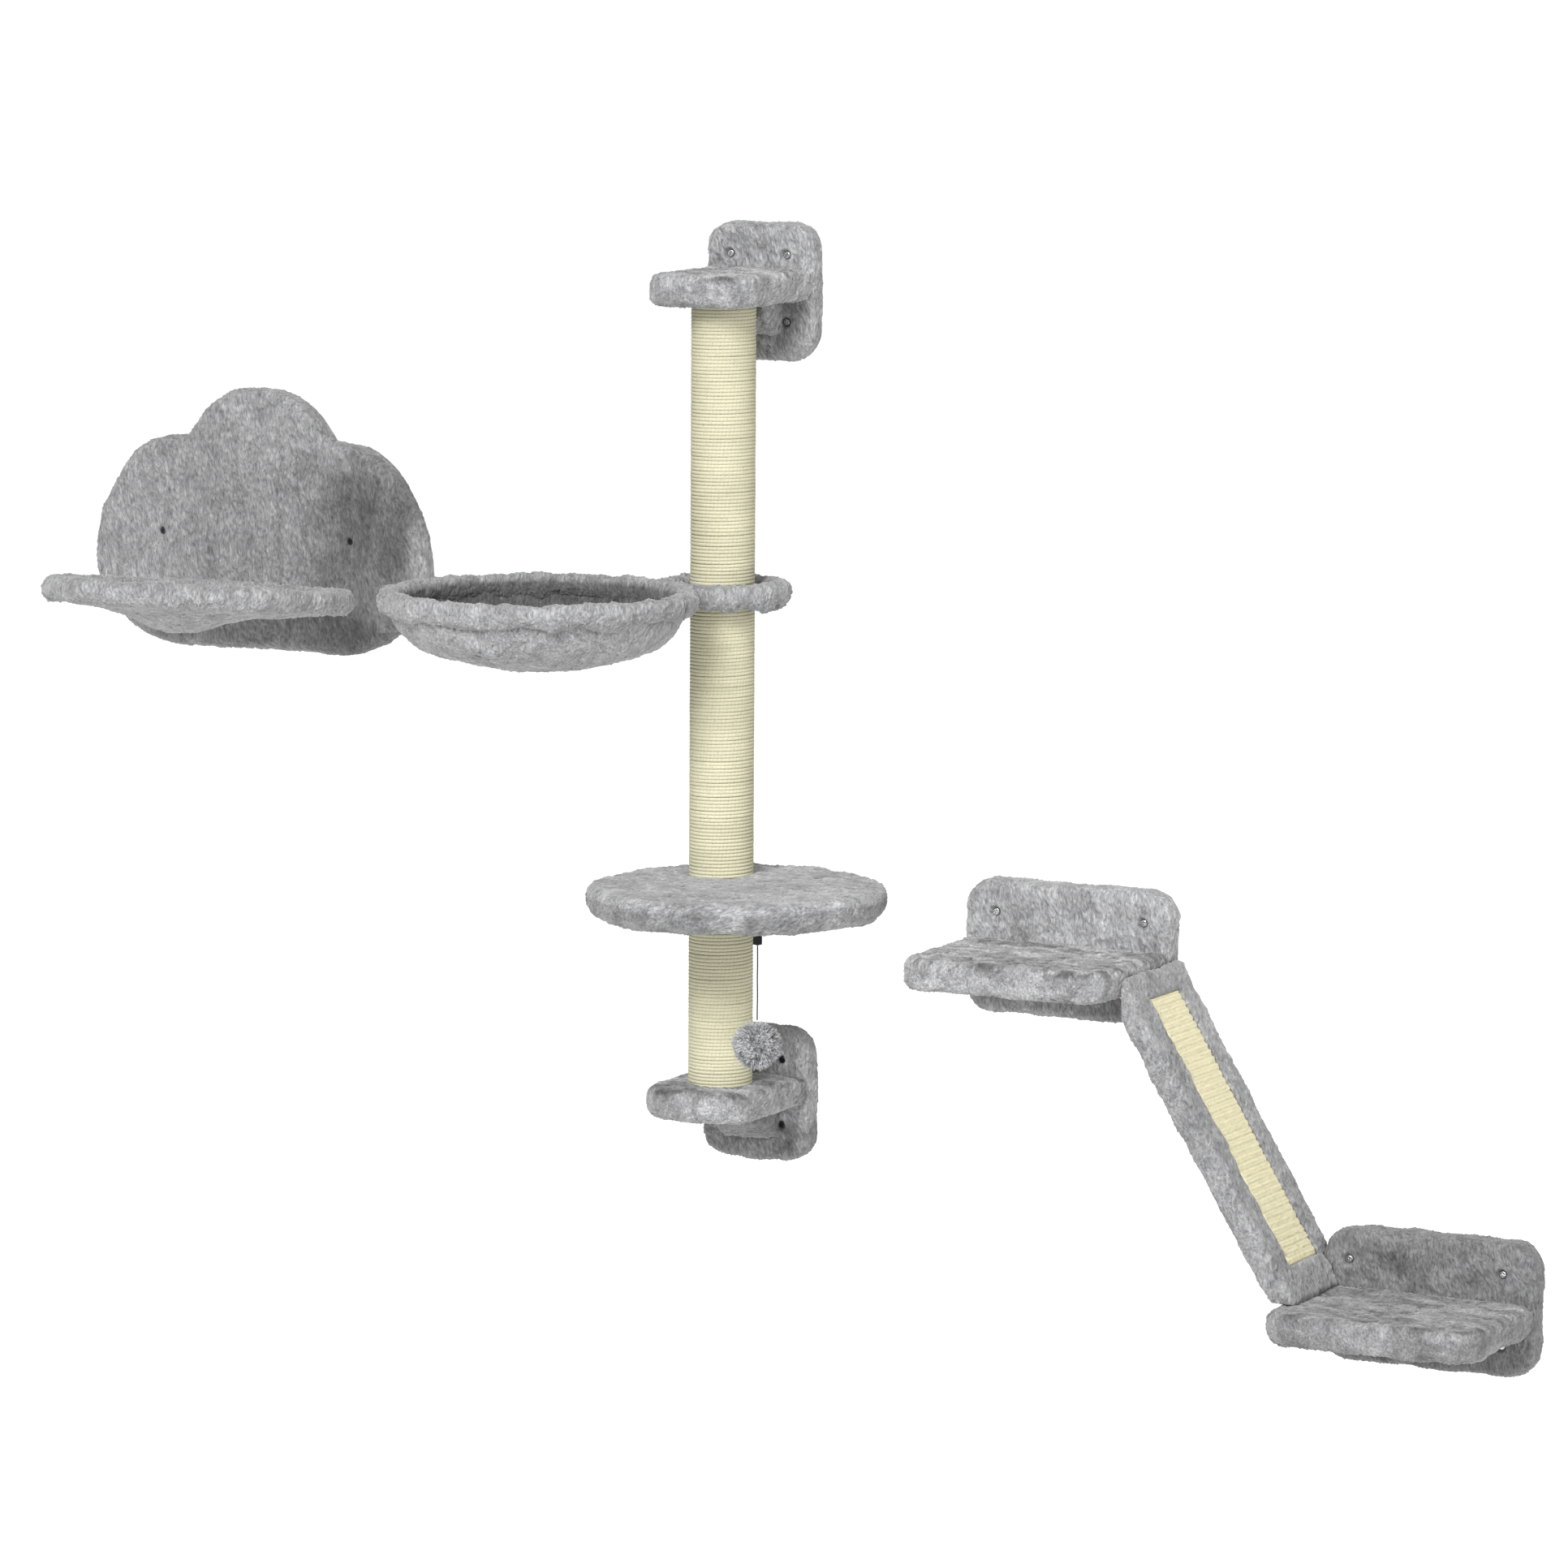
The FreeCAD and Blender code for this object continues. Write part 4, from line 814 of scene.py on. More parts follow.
def spline(pts, per=10):
    """Smooth line through the points."""
    p = np.array(pts, float)
    p = np.vstack([2 * p[0] - p[1], p, 2 * p[-1] - p[-2]])
    out = []
    for i in range(1, len(p) - 2):
        t = np.linspace(0, 1, per, endpoint=False)[:, None]
        a, b, c, d = p[i - 1], p[i], p[i + 1], p[i + 2]
        out.append(0.5 * ((2 * b) + (-a + c) * t + (2 * a - 5 * b + 4 * c - d) * t ** 2 + (-a + 3 * b - 3 * c + d) * t ** 3))
    out.append(p[-2][None])
    return np.concatenate(out)


def backboard():
    right = np.concatenate([spline(LO_HALF), spline(LO_LOBE)[1:]])
    left = right[::-1] * np.array([-1, 1])
    pts = np.concatenate([right, left[:-1]]) + np.array([LO_X, 0.0])
    h = 1.75
    lo, ax = grid((LO_X - 224, -PLATE_T + IN, -443), (LO_X + 224, -0.6, -139), h)
    U, W = np.meshgrid(ax[0], ax[2], indexing="ij")
    d2 = sd_polygon(U, W, pts)
    Y = ax[1][None, :, None]
    d = sd_slab(d2[:, None, :] + IN, Y, -PLATE_T + IN + 0.4, -0.9, 12.0, 3.0)
    hole = sd_slab(d2[:, None, :] + PILE_T + 20.0, Y, -5.0, 6.0, 1.0, 1.0)
    f = np.maximum(d, -hole).astype(np.float32)
    screws = [(LO_X + i * 126.0, -356.0 + j * 46.0) for i in (-1, 1) for j in (-1, 1)]

    def amount(v, n):
        return 1.0 - 0.93 * smooth01((v[:, 1] + 6.0) / 4.0)

    def shade(v, n):
        # painted shadow: the right lobe beside and below the lounger ring is darkened where the ring's shadow falls,
        # least at its outer edge and lowest part; the board is a little darker low down
        x = v[:, 0] - LO_X
        lobe = smooth01((x - 40.0) / 90.0) * smooth01((-195.0 - v[:, 2]) / 60.0)
        low = smooth01((-300.0 - v[:, 2]) / 60.0)
        edge = smooth01((x - 196.0) / 22.0)
        return 0.92 - 0.50 * lobe * (1.0 - edge) - 0.06 * low + 0.14 * lobe * low

    def late(v, attrs):
        v[:, 1] = np.minimum(v[:, 1], -0.35)
        return v, attrs

    cover("backboard_plush", f, lo, h, "wall_frame", "lounger_board_cover", 160, comb=(0.15, -0.1, -1.0), shade=shade, amount=amount,
          press=[(s, SEAT, 2.6, 6.2) for s in screws if s[1] > -356.0], late=late,
          dents=[((LO_X + 8, -31, -172), 14, 1.6), ((LO_X + 60, -31, -215), 16, 1.8), ((LO_X + 150, -31, -270), 22, 2.0),
                 ((LO_X + 190, -31, -330), 18, 1.5)])


backboard()


# ------------------------------------------------------------------ rings
RING_R, SMALL_R, RING_Z, POST_Y = 162.5, 62.6, -331.0, -114.0
ANG = math.radians(54.0)
SW = np.array([-(RING_R + SMALL_R) * math.cos(ANG), POST_Y - (RING_R + SMALL_R) * math.sin(ANG), RING_Z])
LC = np.array([-618.0, -211.5, -359.0])
TILT = math.radians(-6.0)


def tilt(v):
    p = v - LC
    c, s = math.cos(TILT), math.sin(TILT)
    return np.stack([p[:, 0], p[:, 1] * c - p[:, 2] * s, p[:, 1] * s + p[:, 2] * c], 1) + LC


def wave(ang, seed, parts):
    """Uneven periodic wave round a ring, about -1 to 1."""
    rng = np.random.default_rng(seed)
    out = 0.0
    tot = 0.0
    for n in parts:
        a = rng.uniform(0.5, 1.0)
        out = out + a * np.sin(n * ang + rng.uniform(0, 6.28))
        tot += a
    return out / tot * 1.6


def ring_field(centre, R, r, seed, X, Y, Z, skirt=0.0):
    x, y, z = X - centre[0], Y - centre[1], Z - centre[2]
    ang = np.arctan2(y, x)
    rr = np.hypot(x, y) - R
    swell = 0.9 * wave(ang, seed, (5, 9, 14, 19)) + 0.4 * wave(ang, seed + 1, (27, 34, 41))
    zz = z
    if skirt:
        s = 1.0 + skirt * (0.45 + 0.55 * wave(ang, seed + 2, (7, 12, 17, 23)))
        zz = np.where(z < 0, z / np.maximum(s, 0.8), z)
    return np.hypot(rr, zz) - (r + swell)


def hammock_sleeves():
    h = 1.45
    reach = RING_R + 22.0
    lo1 = np.minimum(SW[:2] - reach, np.array([-SMALL_R - 20, POST_Y - SMALL_R - 20]))
    hi1 = np.maximum(SW[:2] + reach, np.array([SMALL_R + 20, POST_Y + SMALL_R + 20]))
    lo, ax = grid((lo1[0], lo1[1], RING_Z - 22), (hi1[0], hi1[1], RING_Z + 17), h)
    X, Y, Z = (ax[0][:, None, None].astype(np.float32), ax[1][None, :, None].astype(np.float32), ax[2][None, None, :].astype(np.float32))
    big = ring_field(SW, RING_R, 10.8, 5, X, Y, Z, skirt=0.50)
    small = ring_field(np.array([0.0, POST_Y, RING_Z]), SMALL_R, 11.6, 9, X, Y, Z, skirt=0.45)
    f = smin(big, small, 5.0)
    # the seam where the two sleeves are sewn together
    along = (X - SW[0]) * math.cos(ANG) + (Y - SW[1]) * math.sin(ANG) - (RING_R + 6.5)
    f = f + 1.8 * np.exp(-(along / 1.6) ** 2) * (np.abs(Y - SW[1] - (X - SW[0]) * math.tan(ANG)) < 60)

    def shade(v, n):
        # painted light: the upper side of the sleeves is lighter
        top = smooth01(0.5 + 0.6 * n[:, 2])
        # the side that faces the middle of the big ring lies in the bag's shade
        inward = np.clip(-((v[:, 0] - SW[0]) * n[:, 0] + (v[:, 1] - SW[1]) * n[:, 1]) / RING_R, 0, 1)
        inward *= np.hypot(v[:, 0] - SW[0], v[:, 1] - SW[1]) < RING_R
        return (0.90 + 0.12 * top) * (1.0 - 0.55 * smooth01(inward * 1.6) * smooth01((0.75 - n[:, 2]) / 0.6))

    cover("hammock_ring_plush", f.astype(np.float32), lo, h, "swing_hammock", "hammock_ring_cover", 180, comb=(0.2, -0.7, -0.8),
          shade=shade, tuft=2.2, clump=1.4, und=0.7, base=1.1, und_size=26.0, lean=1.6, fill=0.7)


def lounger_sleeve():
    h = 1.4
    reach = RING_R + 20.0
    lo, ax = grid((LC[0] - reach, LC[1] - reach, LC[2] - 20), (LC[0] + reach, LC[1] + reach, LC[2] + 17), h)
    X, Y, Z = (ax[0][:, None, None].astype(np.float32), ax[1][None, :, None].astype(np.float32), ax[2][None, None, :].astype(np.float32))
    f = ring_field(LC, RING_R, 11.6, 15, X, Y, Z, skirt=0.16)
    # the sleeve runs a little way back along each fixing rod, up to the backboard
    for s in (-1, 1):
        x0 = LC[0] + 60.0 * s
        y0 = LC[1] + math.sqrt(RING_R ** 2 - 60.0 ** 2)
        arm = np.hypot(np.hypot(X - x0, Z - LC[2]), np.maximum(np.maximum(y0 - 4 - Y, Y - y0 - 9.0), 0)) - 6.2
        f = smin(f, arm, 6.0)
    cover("lounger_ring_plush", f.astype(np.float32), lo, h, "wall_frame", "lounger_ring_cover", 200, transform=tilt,
          comb=(0.3, -0.6, -0.8), tuft=2.5, clump=1.4, und=0.7, base=1.1, und_size=26.0, lean=1.6, fill=0.7)


hammock_sleeves()
lounger_sleeve()

# ------------------------------------------------------------------ bags
SWING_BAG = [(160.0, -7.0), (158.0, -18.0), (152.0, -30.0), (140.0, -43.0), (120.0, -54.5), (85.0, -66.0), (45.0, -72.0), (16.0, -74.0), (0.0, -74.2)]
LOUNGE_BAG = [(162.0, -6.0), (156.0, -12.0), (140.0, -15.6), (110.0, -18.5), (80.0, -21.5), (50.0, -24.0), (25.0, -25.6), (14.0, -26.0), (0.0, -26.2)]


def bag_table(profile, thick):
    """Distance to the middle of the cloth, on a table over radius and height."""
    pts = spline(profile, 12)
    t = np.gradient(pts, axis=0)
    t /= np.linalg.norm(t, axis=1)[:, None]
    n = np.stack([t[:, 1], -t[:, 0]], 1)
    n[n[:, 1] < 0] *= -1
    mid = pts + n * thick / 2
    mid[:, 0] = np.maximum(mid[:, 0], 0)
    rs, zs = np.arange(0, 186, 0.8), np.arange(-96, 14, 0.8)
    R, Z = np.meshgrid(rs, zs, indexing="ij")
    best = np.full(R.shape, 1e9)
    full = np.vstack([mid, mid[::-1] * [-1, 1]])
    for a, b in zip(full[:-1], full[1:]):
        d = b - a
        u = np.clip(((R - a[0]) * d[0] + (Z - a[1]) * d[1]) / max(d @ d, 1e-9), 0, 1)
        best = np.minimum(best, np.hypot(R - a[0] - u * d[0], Z - a[1] - u * d[1]))
    return rs, zs, best


def bag(name, node, body, centre, profile, seed, h, folds, transform=None, fold_depth=2.4, crumple=3.0, extra=None, drop=0.0, dim=0.36):
    thick = 4.2
    rs, zs, tab = bag_table(profile, thick)
    reach, low = 172.0, profile[-1][1] - 6.0 - drop
    lo, ax = grid((-reach, -reach, low), (reach, reach, -3.0), h)
    X, Y, Z = np.meshgrid(*ax, indexing="ij")
    rad, ang = np.hypot(X, Y), np.arctan2(Y, X)
    rim = smooth01((rad - 60.0) / 90.0)
    g = wave(ang + 0.002 * rad, seed, folds) * rim * fold_depth
    flat_pts = np.stack([X[:, :, 0].ravel() + centre[0], Y[:, :, 0].ravel() + centre[1], np.zeros(X[:, :, 0].size)], 1)
    low_n = (fbm(flat_pts / 40.0, seed + 3, 3).reshape(X.shape[:2]))[:, :, None] * crumple * smooth01((168.0 - rad) / 40.0)
    zz = Z - g * 0.5 - low_n * 1.6
    rr = rad - g * 0.8
    if extra is not None:
        rr, zz = extra(X, Y, rr, zz)
    i = np.clip(rr / 0.8, 0, len(rs) - 1.001)
    j = np.clip((zz - zs[0]) / 0.8, 0, len(zs) - 1.001)
    i0, j0 = i.astype(int), j.astype(int)
    fi, fj = i - i0, j - j0
    f = (tab[i0, j0] * (1 - fi) * (1 - fj) + tab[i0 + 1, j0] * fi * (1 - fj) + tab[i0, j0 + 1] * (1 - fi) * fj + tab[i0 + 1, j0 + 1] * fi * fj) - thick / 2
    f = f.astype(np.float32)

    def place(v):
        v = v + centre
        return transform(v) if transform else v

    v, quads = nets(f, lo, h)
    n = normals(v, quads)
    # painted shade: the inside of the bag, facing its axis and upwards, is darkened by dim
    axis_in = -(v[:, 0] * n[:, 0] + v[:, 1] * n[:, 1]) + n[:, 2] * 60.0
    inner = smooth01((axis_in + 6.0) / 14.0)
    v = place(v)
    s = 1.0 - dim * inner
    v, attrs = pile(v, quads, seed + 5, comb=(0.1, -0.2, -1.0), width=3.4, length=8.5, und=0.5, clump=1.2, tuft=1.7, strand=0.7,
                    lean=1.3, base=-0.2, shade=s, swirl=1.0)
    ob = new_object(name, v, quads, PLUSH, attrs)
    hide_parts(node)
    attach(ob, body)
    return ob


swing_bag = bag("hammock_bag_plush", "hammock_bag", "swing_hammock", SW, SWING_BAG, 220, 1.75, (6, 11, 16, 22, 29), fold_depth=3.2, dim=0.66)


def pouch(X, Y, rr, zz):
    # a fold of slack cloth that hangs lower at the front left
    m = np.exp(-np.abs((X + 2.0 + 0.25 * (Y + 40.0)) / 56.0) ** 2.6 - ((Y + 40.0) / 52.0) ** 2)
    crease = np.exp(-((X - 22.0 - 0.2 * Y) / 4.0) ** 2) * np.exp(-((Y + 40.0) / 46.0) ** 2)
    return rr, zz + 19.0 * m - 3.0 * crease


lounge_bag = bag("lounger_bag_plush", "lounger_bag", "wall_frame", LC, LOUNGE_BAG, 240, 1.75, (5, 9, 13, 19, 26), transform=tilt,
                 fold_depth=2.0, crumple=2.4, extra=pouch, drop=22.0)

# ------------------------------------------------------------------ wall steps
ST_W, ST_H, ST_R, ST_D = 248.0, 148.0, 32.0, 180.0
UP, LW = (388.0, -717.0), (815.0, -1066.0)


def step(prefix, c, dx, seed, dents, plate_shade, shelf_shade):
    cx, cz = c
    screws = [(cx + i * 89.0, cz + j * 39.0) for i in (-1, 1) for j in (-1, 1)]
    wall_cover(prefix + "_plate_plush", prefix + "_wall_cover", cx + dx, cz, ST_W, ST_H, ST_R, screws, seed, 1.5, shade=plate_shade, dents=dents)
    shelf_cover(prefix + "_shelf_plush", prefix + "_shelf_cover", cx + dx, ST_W, ST_D, cz - 26.0, cz + 10.0, 39.0, seed + 1, 1.6, shade=shelf_shade, crease=0.36)


def under_shelf(v, n):
    # painted light and shadow: the plate is lightened overall and darkened below its shelf, most on the right towards
    # the ramp's top end
    low = smooth01((-748.0 - v[:, 2]) / 14.0)
    right = smooth01((v[:, 0] - 400.0) / 70.0)
    return 1.22 - low * (0.16 + 0.42 * right)


# painted light: the upper step's shelf is lightened to 1.04
step("upper_step", UP, -3.0, 260, [((450.0, -31.0, -668.0), 16.0, 1.5), ((330.0, -31.0, -700.0), 14.0, 1.4)], under_shelf, 1.04)


def dim_plate(v, n):
    # painted shade: the whole plate is darkened where the ramp's shadow falls, a little more at its bottom
    low = smooth01((-1085.0 - v[:, 2]) / 25.0)
    return 0.66 - 0.05 * low


# painted shade: the lower step's shelf is darkened to 0.74
step("lower_step", LW, 3.0, 280, [((780.0, -31.0, -1030.0), 20.0, 2.0), ((870.0, -31.0, -1040.0), 18.0, 2.0), ((740.0, -31.0, -1020.0), 14.0, 1.5)],
     dim_plate, 0.74)

# ------------------------------------------------------------------ ramp
AX, AZ = 509.3, -708.5
BX, BZ = 720.2, -1055.7
RA_LEN = math.hypot(BX - AX, BZ - AZ)
UX, UZ = (BX - AX) / RA_LEN, (BZ - AZ) / RA_LEN
NX, NZ = -UZ, UX
RA_Y0, RA_Y1 = -165.0, -8.0
MAT_S0, MAT_S1, MAT_W = 40.0, 363.5, 77.0
YM = (RA_Y0 + RA_Y1) / 2


def ramp_world(v):
    """(distance down the ramp, y, height above its top face) to the row frame."""
    s, y, o = v[:, 0], v[:, 1], v[:, 2]
    return np.stack([AX + UX * s + NX * o, y, AZ + UZ * s + NZ * o], 1)


def ramp():
    h = 1.55
    lo, ax = grid((-40.0, RA_Y0 + IN, -30.0), (RA_LEN + 44.0, RA_Y1 - IN, 0.0), h)
    S, Y, O = ax[0][:, None, None], ax[1][None, :, None], ax[2][None, None, :]
    half_y = (RA_Y1 - RA_Y0) / 2 - IN
    a = np.abs(Y - YM) - half_y + 7.0
    b = np.abs(O + 15.0) - (15.0 - IN) + 7.0
    bar = np.minimum(np.maximum(a, b), 0) + np.hypot(np.maximum(a, 0), np.maximum(b, 0)) - 7.0
    x = AX + UX * S + NX * O
    z = AZ + UZ * S + NZ * O
    end = np.maximum(509.3 + 1.2 - x, -1056.0 + 1.5 - z)
    f = np.maximum(bar, -1e9)
    k = 5.0
    hh = np.clip(0.5 - 0.5 * (f - end) / k, 0, 1)
    f = f * (1 - hh) + end * hh + k * hh * (1 - hh)
    top_cut = S * (-1.0) - 4.0 + 0 * O
    hh = np.clip(0.5 - 0.5 * (f - top_cut) / 7.0, 0, 1)
    f = f * (1 - hh) + top_cut * hh + 7.0 * hh * (1 - hh)
    # the foot's wall-side corner is cut out round the lower wall board
    corner = np.minimum(x - 693.2, Y + 36.2) + 0 * S
    hh = np.clip(0.5 - 0.5 * (f - corner) / 4.0, 0, 1)
    f = f * (1 - hh) + corner * hh + 4.0 * hh * (1 - hh)
    # recess for the mat, a little wider on the wall side
    pocket = np.maximum(np.maximum(np.abs(S - (MAT_S0 + MAT_S1) / 2) - (MAT_S1 - MAT_S0) / 2 - 0.5,
                                   np.abs(Y - YM - 1.0) - MAT_W / 2 - 1.4), -8.6 - O)
    f = np.maximum(f, -pocket).astype(np.float32)

    def amount(v, n):
        s = (v[:, 0] - AX) * UX + (v[:, 2] - AZ) * UZ
        o = (v[:, 0] - AX) * NX + (v[:, 2] - AZ) * NZ
        inside = (s > MAT_S0 - 1.5) & (s < MAT_S1 + 1.5) & (np.abs(v[:, 1] - YM) < MAT_W / 2 + 2.0) & (o > -12.0)
        deep = inside & (o < -6.0)
        return np.where(deep, 0.05, np.where(inside, 0.4, 1.0))

    def shade(v, n):
        # painted shade: darker on the underside; the colour is also lighter towards the wall side
        under = smooth01(-(n[:, 0] * NX + n[:, 2] * NZ))
        wall_side = smooth01((v[:, 1] - YM - 30.0) / 30.0)
        return 0.94 - 0.05 * under + 0.10 * wall_side

    cover("ramp_plush", f, lo, h, "wall_frame", "ramp_cover", 300, transform=ramp_world, comb=(0.45, -0.55, -0.75), amount=amount, shade=shade)


ramp()


def woven_mat():
    nu, nv = 95, 420
    u = np.linspace(-1, 1, nu)
    s = np.linspace(MAT_S0, MAT_S1, nv)
    U, S = np.meshgrid(u, s, indexing="ij")
    pitch = 8.6
    rng = np.random.default_rng(77)
    row = np.floor(S / pitch).astype(int)
    jit = rng.uniform(-1, 1, 200)
    jit2 = rng.uniform(-1, 1, 200)
    phase = S / pitch
    # each thick weft bulges, and ends in a loop at the edge
    bulge = np.abs(np.sin(math.pi * (phase)))
    edge_r = 2.9 * bulge ** 0.9 + 0.5 * jit[row % 200] - 1.6
    edge_l = 0.9 * bulge ** 0.8 + 0.4 * jit2[row % 200] - 0.3
    half = MAT_W / 2 - 1.2
    Yc = YM + np.where(U > 0, U * (half + edge_r * np.abs(U) ** 6), U * (half + edge_l * np.abs(U) ** 6))
    across = Yc - YM
    warp_pitch = 3.4
    over = np.sin(2 * math.pi * across / warp_pitch + math.pi * np.floor(S / 3.9)) * np.abs(np.sin(math.pi * S / 3.9))
    flat = np.stack([across.ravel() / 1.4, S.ravel() / 1.1, np.zeros(U.size)], 1)
    fuzz = (noise(flat, 5) - 0.5).reshape(U.shape)
    flat2 = np.stack([across.ravel() / 9.0, S.ravel() / 4.0, np.zeros(U.size)], 1)
    slow = fbm(flat2, 9, 2).reshape(U.shape)
    top = -2.8 + 0.42 * bulge ** 0.7 + 0.40 * over + 0.45 * fuzz + 0.5 * slow
    fall = smooth01((1.0 - np.abs(U)) * half / 1.6)
    fall *= smooth01((S - MAT_S0) / 1.6) * smooth01((MAT_S1 - S) / 1.6)
    top = -5.2 + (top + 5.2) * (0.25 + 0.75 * fall)
    bottom = np.full(U.shape, -7.0)
    vt = np.stack([S.ravel(), Yc.ravel(), top.ravel()], 1)
    vb = np.stack([S.ravel(), Yc.ravel(), bottom.ravel()], 1)
    v = ramp_world(np.concatenate([vt, vb]))
    idx = np.arange(nu * nv).reshape(nu, nv)
    q = np.stack([idx[:-1, :-1].ravel(), idx[:-1, 1:].ravel(), idx[1:, 1:].ravel(), idx[1:, :-1].ravel()], 1)
    off = nu * nv
    quads = [q[:, ::-1] if True else q, q + off]
    ring = np.concatenate([idx[0, :], idx[1:, -1], idx[-1, ::-1][1:], idx[::-1, 0][1:-1]])
    nxt = np.roll(ring, -1)
    side_q = np.stack([ring, nxt, nxt + off, ring + off], 1)
    quads = [np.concatenate([q[:, ::-1], q + off, side_q[:, ::-1]])]
    # painted shade: raised wefts and warps are lighter, the hollows between them darker; the hidden underside is set
    # dark
    tip = np.clip(0.52 + 0.30 * bulge + 0.30 * over + 0.6 * fuzz, 0, 1).ravel()
    tip = np.concatenate([tip, tip * 0 + 0.3])
    weave = np.stack([np.tile(across.ravel(), 2), np.tile(S.ravel(), 2), np.zeros(2 * nu * nv)], 1)
    # orientation: the top faces away from the board
    a, b, c = v[quads[0][0, 0]], v[quads[0][0, 1]], v[quads[0][0, 2]]
    nrm = np.cross(b - a, c - b)
    if nrm @ np.array([NX, 0, NZ]) < 0:
        quads = [quads[0][:, ::-1]]
    ob = new_object("woven_mat", v, quads, SISAL_MAT, {"tip": tip, "weave": weave})
    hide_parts("ramp_sisal_mat")
    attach(ob, "wall_frame")
    return ob


woven_mat()


# ------------------------------------------------------------------ rope wound on the post
def tube_along(name, c, right, up, r_of, sides, mat, attrs_of):
    n = len(c)
    phi = np.linspace(0, 2 * math.pi, sides, endpoint=False)
    P = np.repeat(c[:, None, :], sides, 1)
    rad = r_of(np.arange(n)[:, None], phi[None, :])
    P = P + rad[..., None] * (np.cos(phi)[None, :, None] * right[:, None, :] + np.sin(phi)[None, :, None] * up[:, None, :])
    v = P.reshape(-1, 3)
    idx = np.arange(n * sides).reshape(n, sides)
    nx = np.roll(idx, -1, 1)
    q = np.stack([idx[:-1].ravel(), nx[:-1].ravel(), nx[1:].ravel(), idx[1:].ravel()], 1)
    caps = [idx[0][::-1][None, :], idx[-1][None, :]]
    return v, [q] + caps


def rope(name, node, z0, z1, seed):
    """One length of rope laid turn on turn; three strands twist along it."""
    pitch, R, r, flat = 3.95, 34.6, 2.0, 0.66
    turns = (z1 - z0 - 2 * r) / pitch
    n = int(turns * 2 * math.pi * R / 2.5)
    t = np.linspace(0, turns, n)
    ang = 2 * math.pi * t + seed
    rng = np.random.default_rng(seed)
    pts = np.stack([t * 0.31, t * 0, t * 0], 1)
    wob = (noise(np.stack([t * 1.7, t * 0 + 0.5, t * 0], 1), seed) - 0.5)
    per_turn = (noise(np.stack([np.cos(ang) * 0.8 + 9, np.sin(ang) * 0.8 + 9, t * 0.5], 1), seed + 2) - 0.5)
    rad = R + 0.4 * per_turn
    z = z0 + r + t * pitch + 0.5 * wob
    c = np.stack([rad * np.cos(ang), POST_Y + rad * np.sin(ang), z], 1)
    radial = np.stack([np.cos(ang), np.sin(ang), 0 * ang], 1) * flat
    up = np.zeros_like(radial)
    up[:, 2] = 1.0
    length = t * 2 * math.pi * R
    sides = 10

    def r_of(i, phi):
        s = length[i]
        lay = np.cos(3.0 * (phi - 2 * math.pi * s / 21.0))
        return r * (1.04 + 0.07 * lay) * (1.0 + 0.04 * np.sin(s / 47.0 + seed))

    v, faces = tube_along(name, c, radial, up, r_of, sides, ROPE, None)
    if True:
        a = v[faces[0][0, 0]]
        nrm = np.cross(v[faces[0][0, 1]] - a, v[faces[0][0, 2]] - a)
        if nrm @ (a - c[0]) < 0:
            faces = [f[:, ::-1] for f in faces]
    phi = np.tile(np.linspace(0, 2 * math.pi, sides, endpoint=False), n)
    s = np.repeat(length, sides)
    lay = np.cos(3.0 * (phi - 2 * math.pi * s / 21.0))
    # painted shade: the rope is lighter on its outward face and darker on the sides that turn into the grooves between
    # turns; lay marks the three strands
    outer = 0.5 + 0.5 * np.cos(phi)
    strand = np.clip(0.05 + 0.80 * np.clip((outer - 0.42) * 2.1, 0, 1) + 0.15 * lay, 0, 1)
    run = np.stack([s, phi * r, s * 0], 1)
    ob = new_object(name, v, faces, ROPE, {"strand": strand, "run": run})
    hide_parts(node)
    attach(ob, "wall_frame")
    return ob


rope("upper_rope", "upper_post_rope", -328.3, -10.5, 1)
rope("middle_rope", "middle_post_rope", -649.5, -333.7, 2)
rope("lower_rope", "lower_post_rope", -884.5, -676.5, 3)


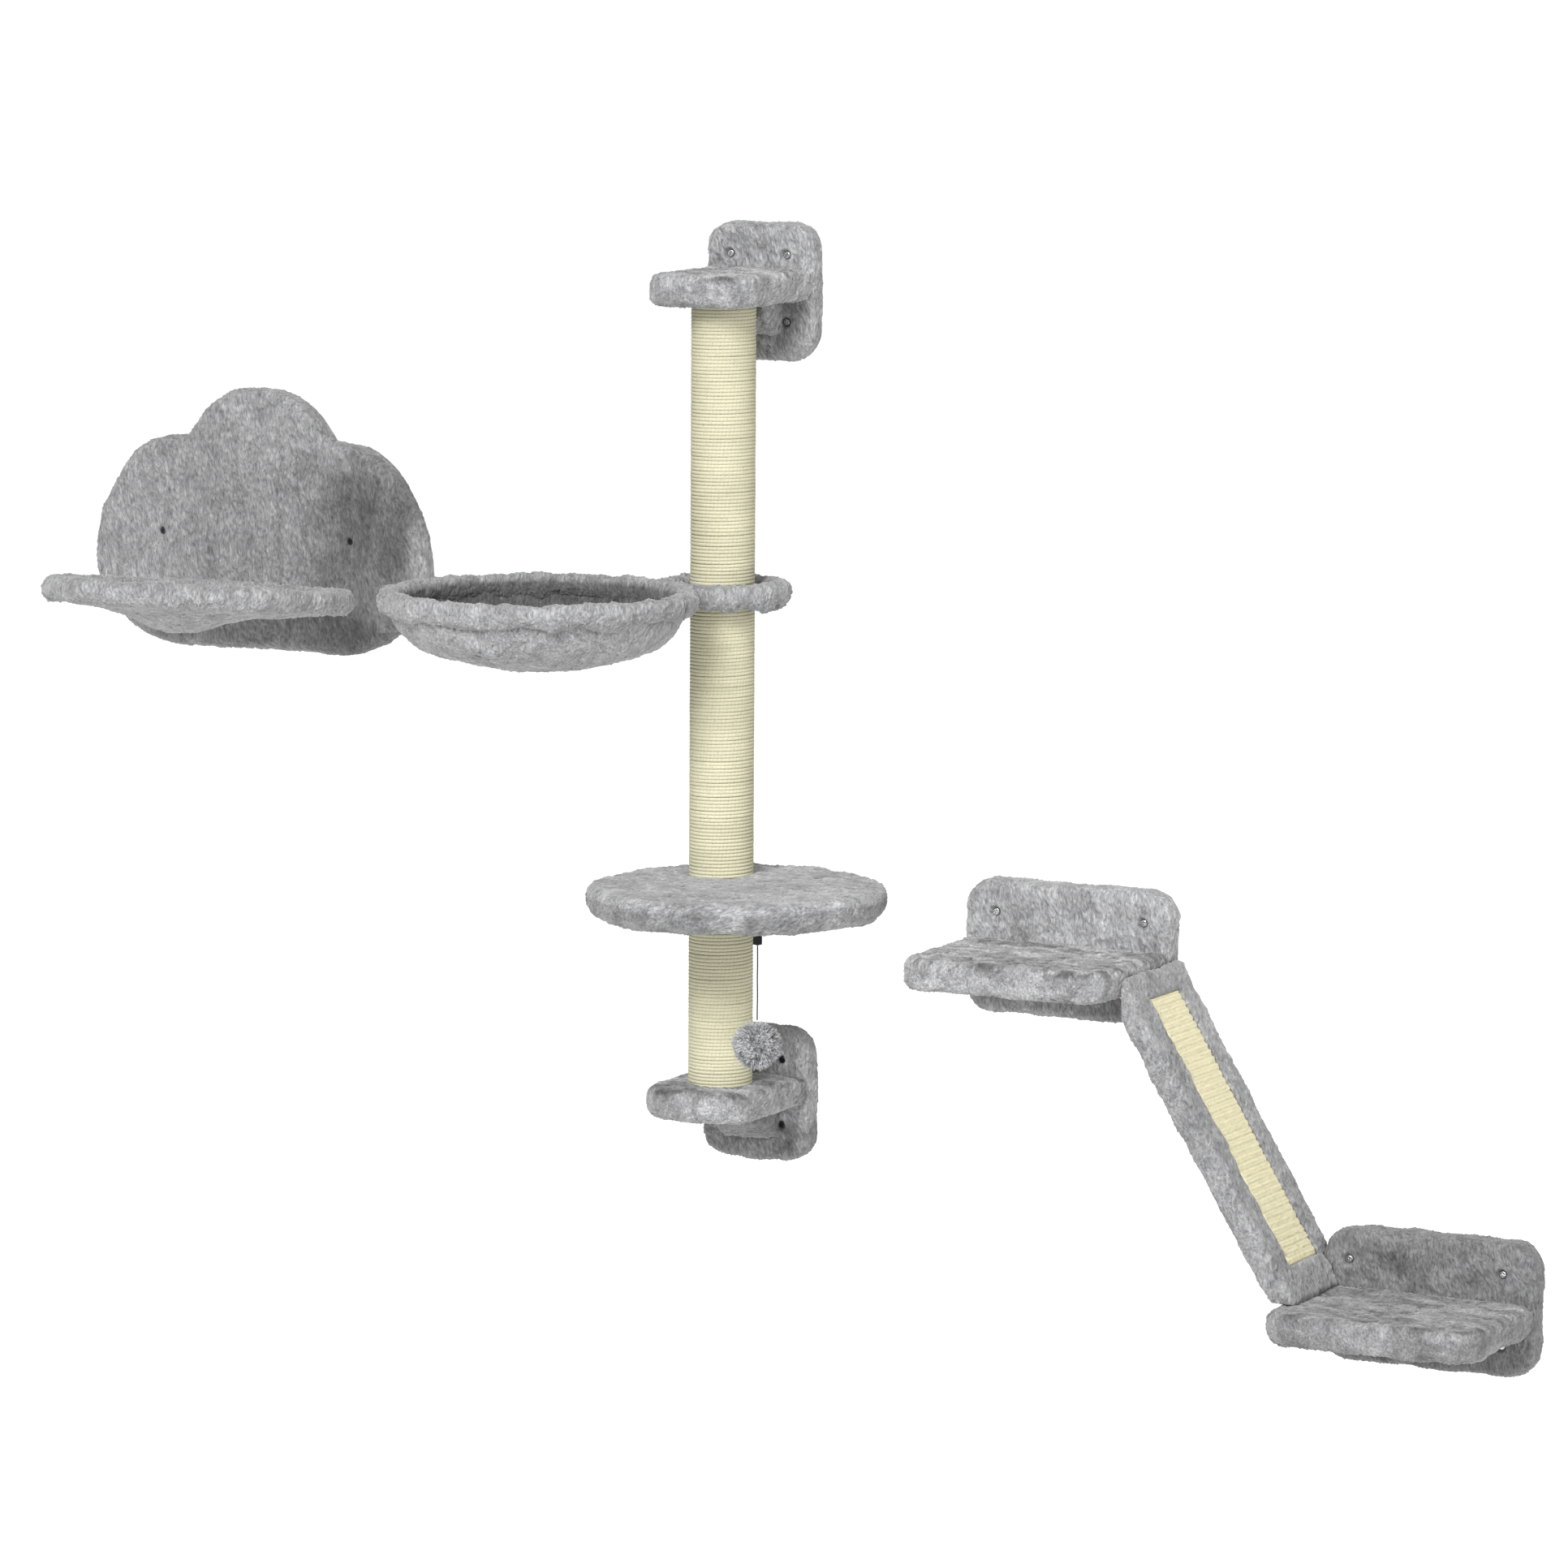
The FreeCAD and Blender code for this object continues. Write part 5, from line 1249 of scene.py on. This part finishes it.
# ------------------------------------------------------------------ pompom
def pompom():
    import bmesh
    me = bpy.data.meshes.new("tmp")
    bm = bmesh.new()
    bmesh.ops.create_icosphere(bm, subdivisions=7, radius=1.0)
    bm.verts.ensure_lookup_table()
    v = np.array([p.co[:] for p in bm.verts])
    f = np.array([[l.index for l in face.verts] for face in bm.faces])
    bm.free()
    bpy.data.meshes.remove(me)
    n = v / np.linalg.norm(v, axis=1)[:, None]
    c = np.array([126.0, -270.0, -805.5])
    d1, d2, rnd = cells(n * 6.5, 401)
    e1, e2, rnd2 = cells(n * 15.0, 402)
    locks = np.clip(1.0 - d1 / 0.9, 0, 1)
    tufts = np.clip(1.0 - e1 / 0.85, 0, 1)
    low = fbm(n * 2.2, 403, 2)
    r = 21.8 + 2.0 * low + 3.2 * locks * (0.6 + 0.5 * rnd) + 6.4 * tufts ** 1.5 * (0.45 + 0.75 * rnd2) * (0.4 + 0.6 * np.clip((e2 - e1) * 2.5, 0, 1))
    bend = np.stack([fbm(n * 4.0 + 7 * i, 410 + i, 2) for i in range(3)], 1)
    droop = np.array([0.0, 0.0, -1.0])
    p = n * r[:, None] + (bend * 3.0 + droop * 0.8) * (tufts * 0.8 + locks * 0.4)[:, None]
    # gathered a little where the string goes in
    top = smooth01((n[:, 2] - 0.90) / 0.10)
    p[:, 2] -= 2.5 * top
    over = np.linalg.norm(p, axis=1)
    p *= (np.minimum(over, 29.5) / over)[:, None]
    # pale raised locks and tufts with dark hollows between them: the pompom's own colour and painted shade deep in it
    tip = np.clip(-0.12 + 0.62 * locks + 0.72 * tufts + 0.5 * low, 0, 1)
    comb = n * 14.0 + bend * 2.0
    ob = new_object("pompom", p + c, f, POM, {"tip": tip, "shade": np.ones(len(v)), "comb": comb})
    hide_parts("toy_pompom")
    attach(ob, "toy_pendulum")
    return ob


pom = pompom()
string.data.materials.append(STRING)
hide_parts("toy_string")
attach(string, "toy_pendulum")


# ------------------------------------------------------------------ floor and light
def stage():
    me = bpy.data.meshes.new("floor")
    s = 160.0
    me.from_pydata([(-s, -s, -1.95), (s, -s, -1.95), (s, s, -1.95), (-s, s, -1.95)], [], [(0, 1, 2, 3)])
    k = Mat("floor")
    obj = k.object_coords()
    n = k.noise(obj, 3.0, 2.0, 0.5)
    c = k.ramp(n, [(0.3, (0.60, 0.60, 0.60)), (0.7, (0.62, 0.62, 0.62))])
    k.set(color=c, rough=0.9, spec=0.0)
    k.p.inputs["Emission Color"].default_value = (1.0, 1.0, 1.0, 1.0)
    k.p.inputs["Emission Strength"].default_value = 0.64
    me.materials.append(k.m)
    ob = bpy.data.objects.new("floor", me)
    col.objects.link(ob)


stage()

world = bpy.data.worlds.new("world")
world.use_nodes = True
bg = world.node_tree.nodes["Background"]
bg.inputs["Color"].default_value = (1.0, 1.0, 1.0, 1.0)
bg.inputs["Strength"].default_value = 0.62
scene.world = world


def area(name, loc, aim, size, power):
    data = bpy.data.lights.new(name, "AREA")
    data.shape = "DISK"
    data.size = size
    data.energy = power
    ob = bpy.data.objects.new(name, data)
    col.objects.link(ob)
    d = Vector(aim) - Vector(loc)
    ob.matrix_world = Matrix.Translation(loc) @ d.to_track_quat("-Z", "Y").to_matrix().to_4x4()


area("key", (0.9, -7.2, 4.0), (0.0, 0.0, -0.6), 3.4, 900.0)
area("fill", (4.5, -3.0, 1.2), (0.2, 0.0, -0.7), 2.6, 110.0)

scene.view_settings.view_transform = "Standard"
scene.view_settings.look = "None"
scene.view_settings.exposure = 0.0
scene.view_settings.gamma = 1.0
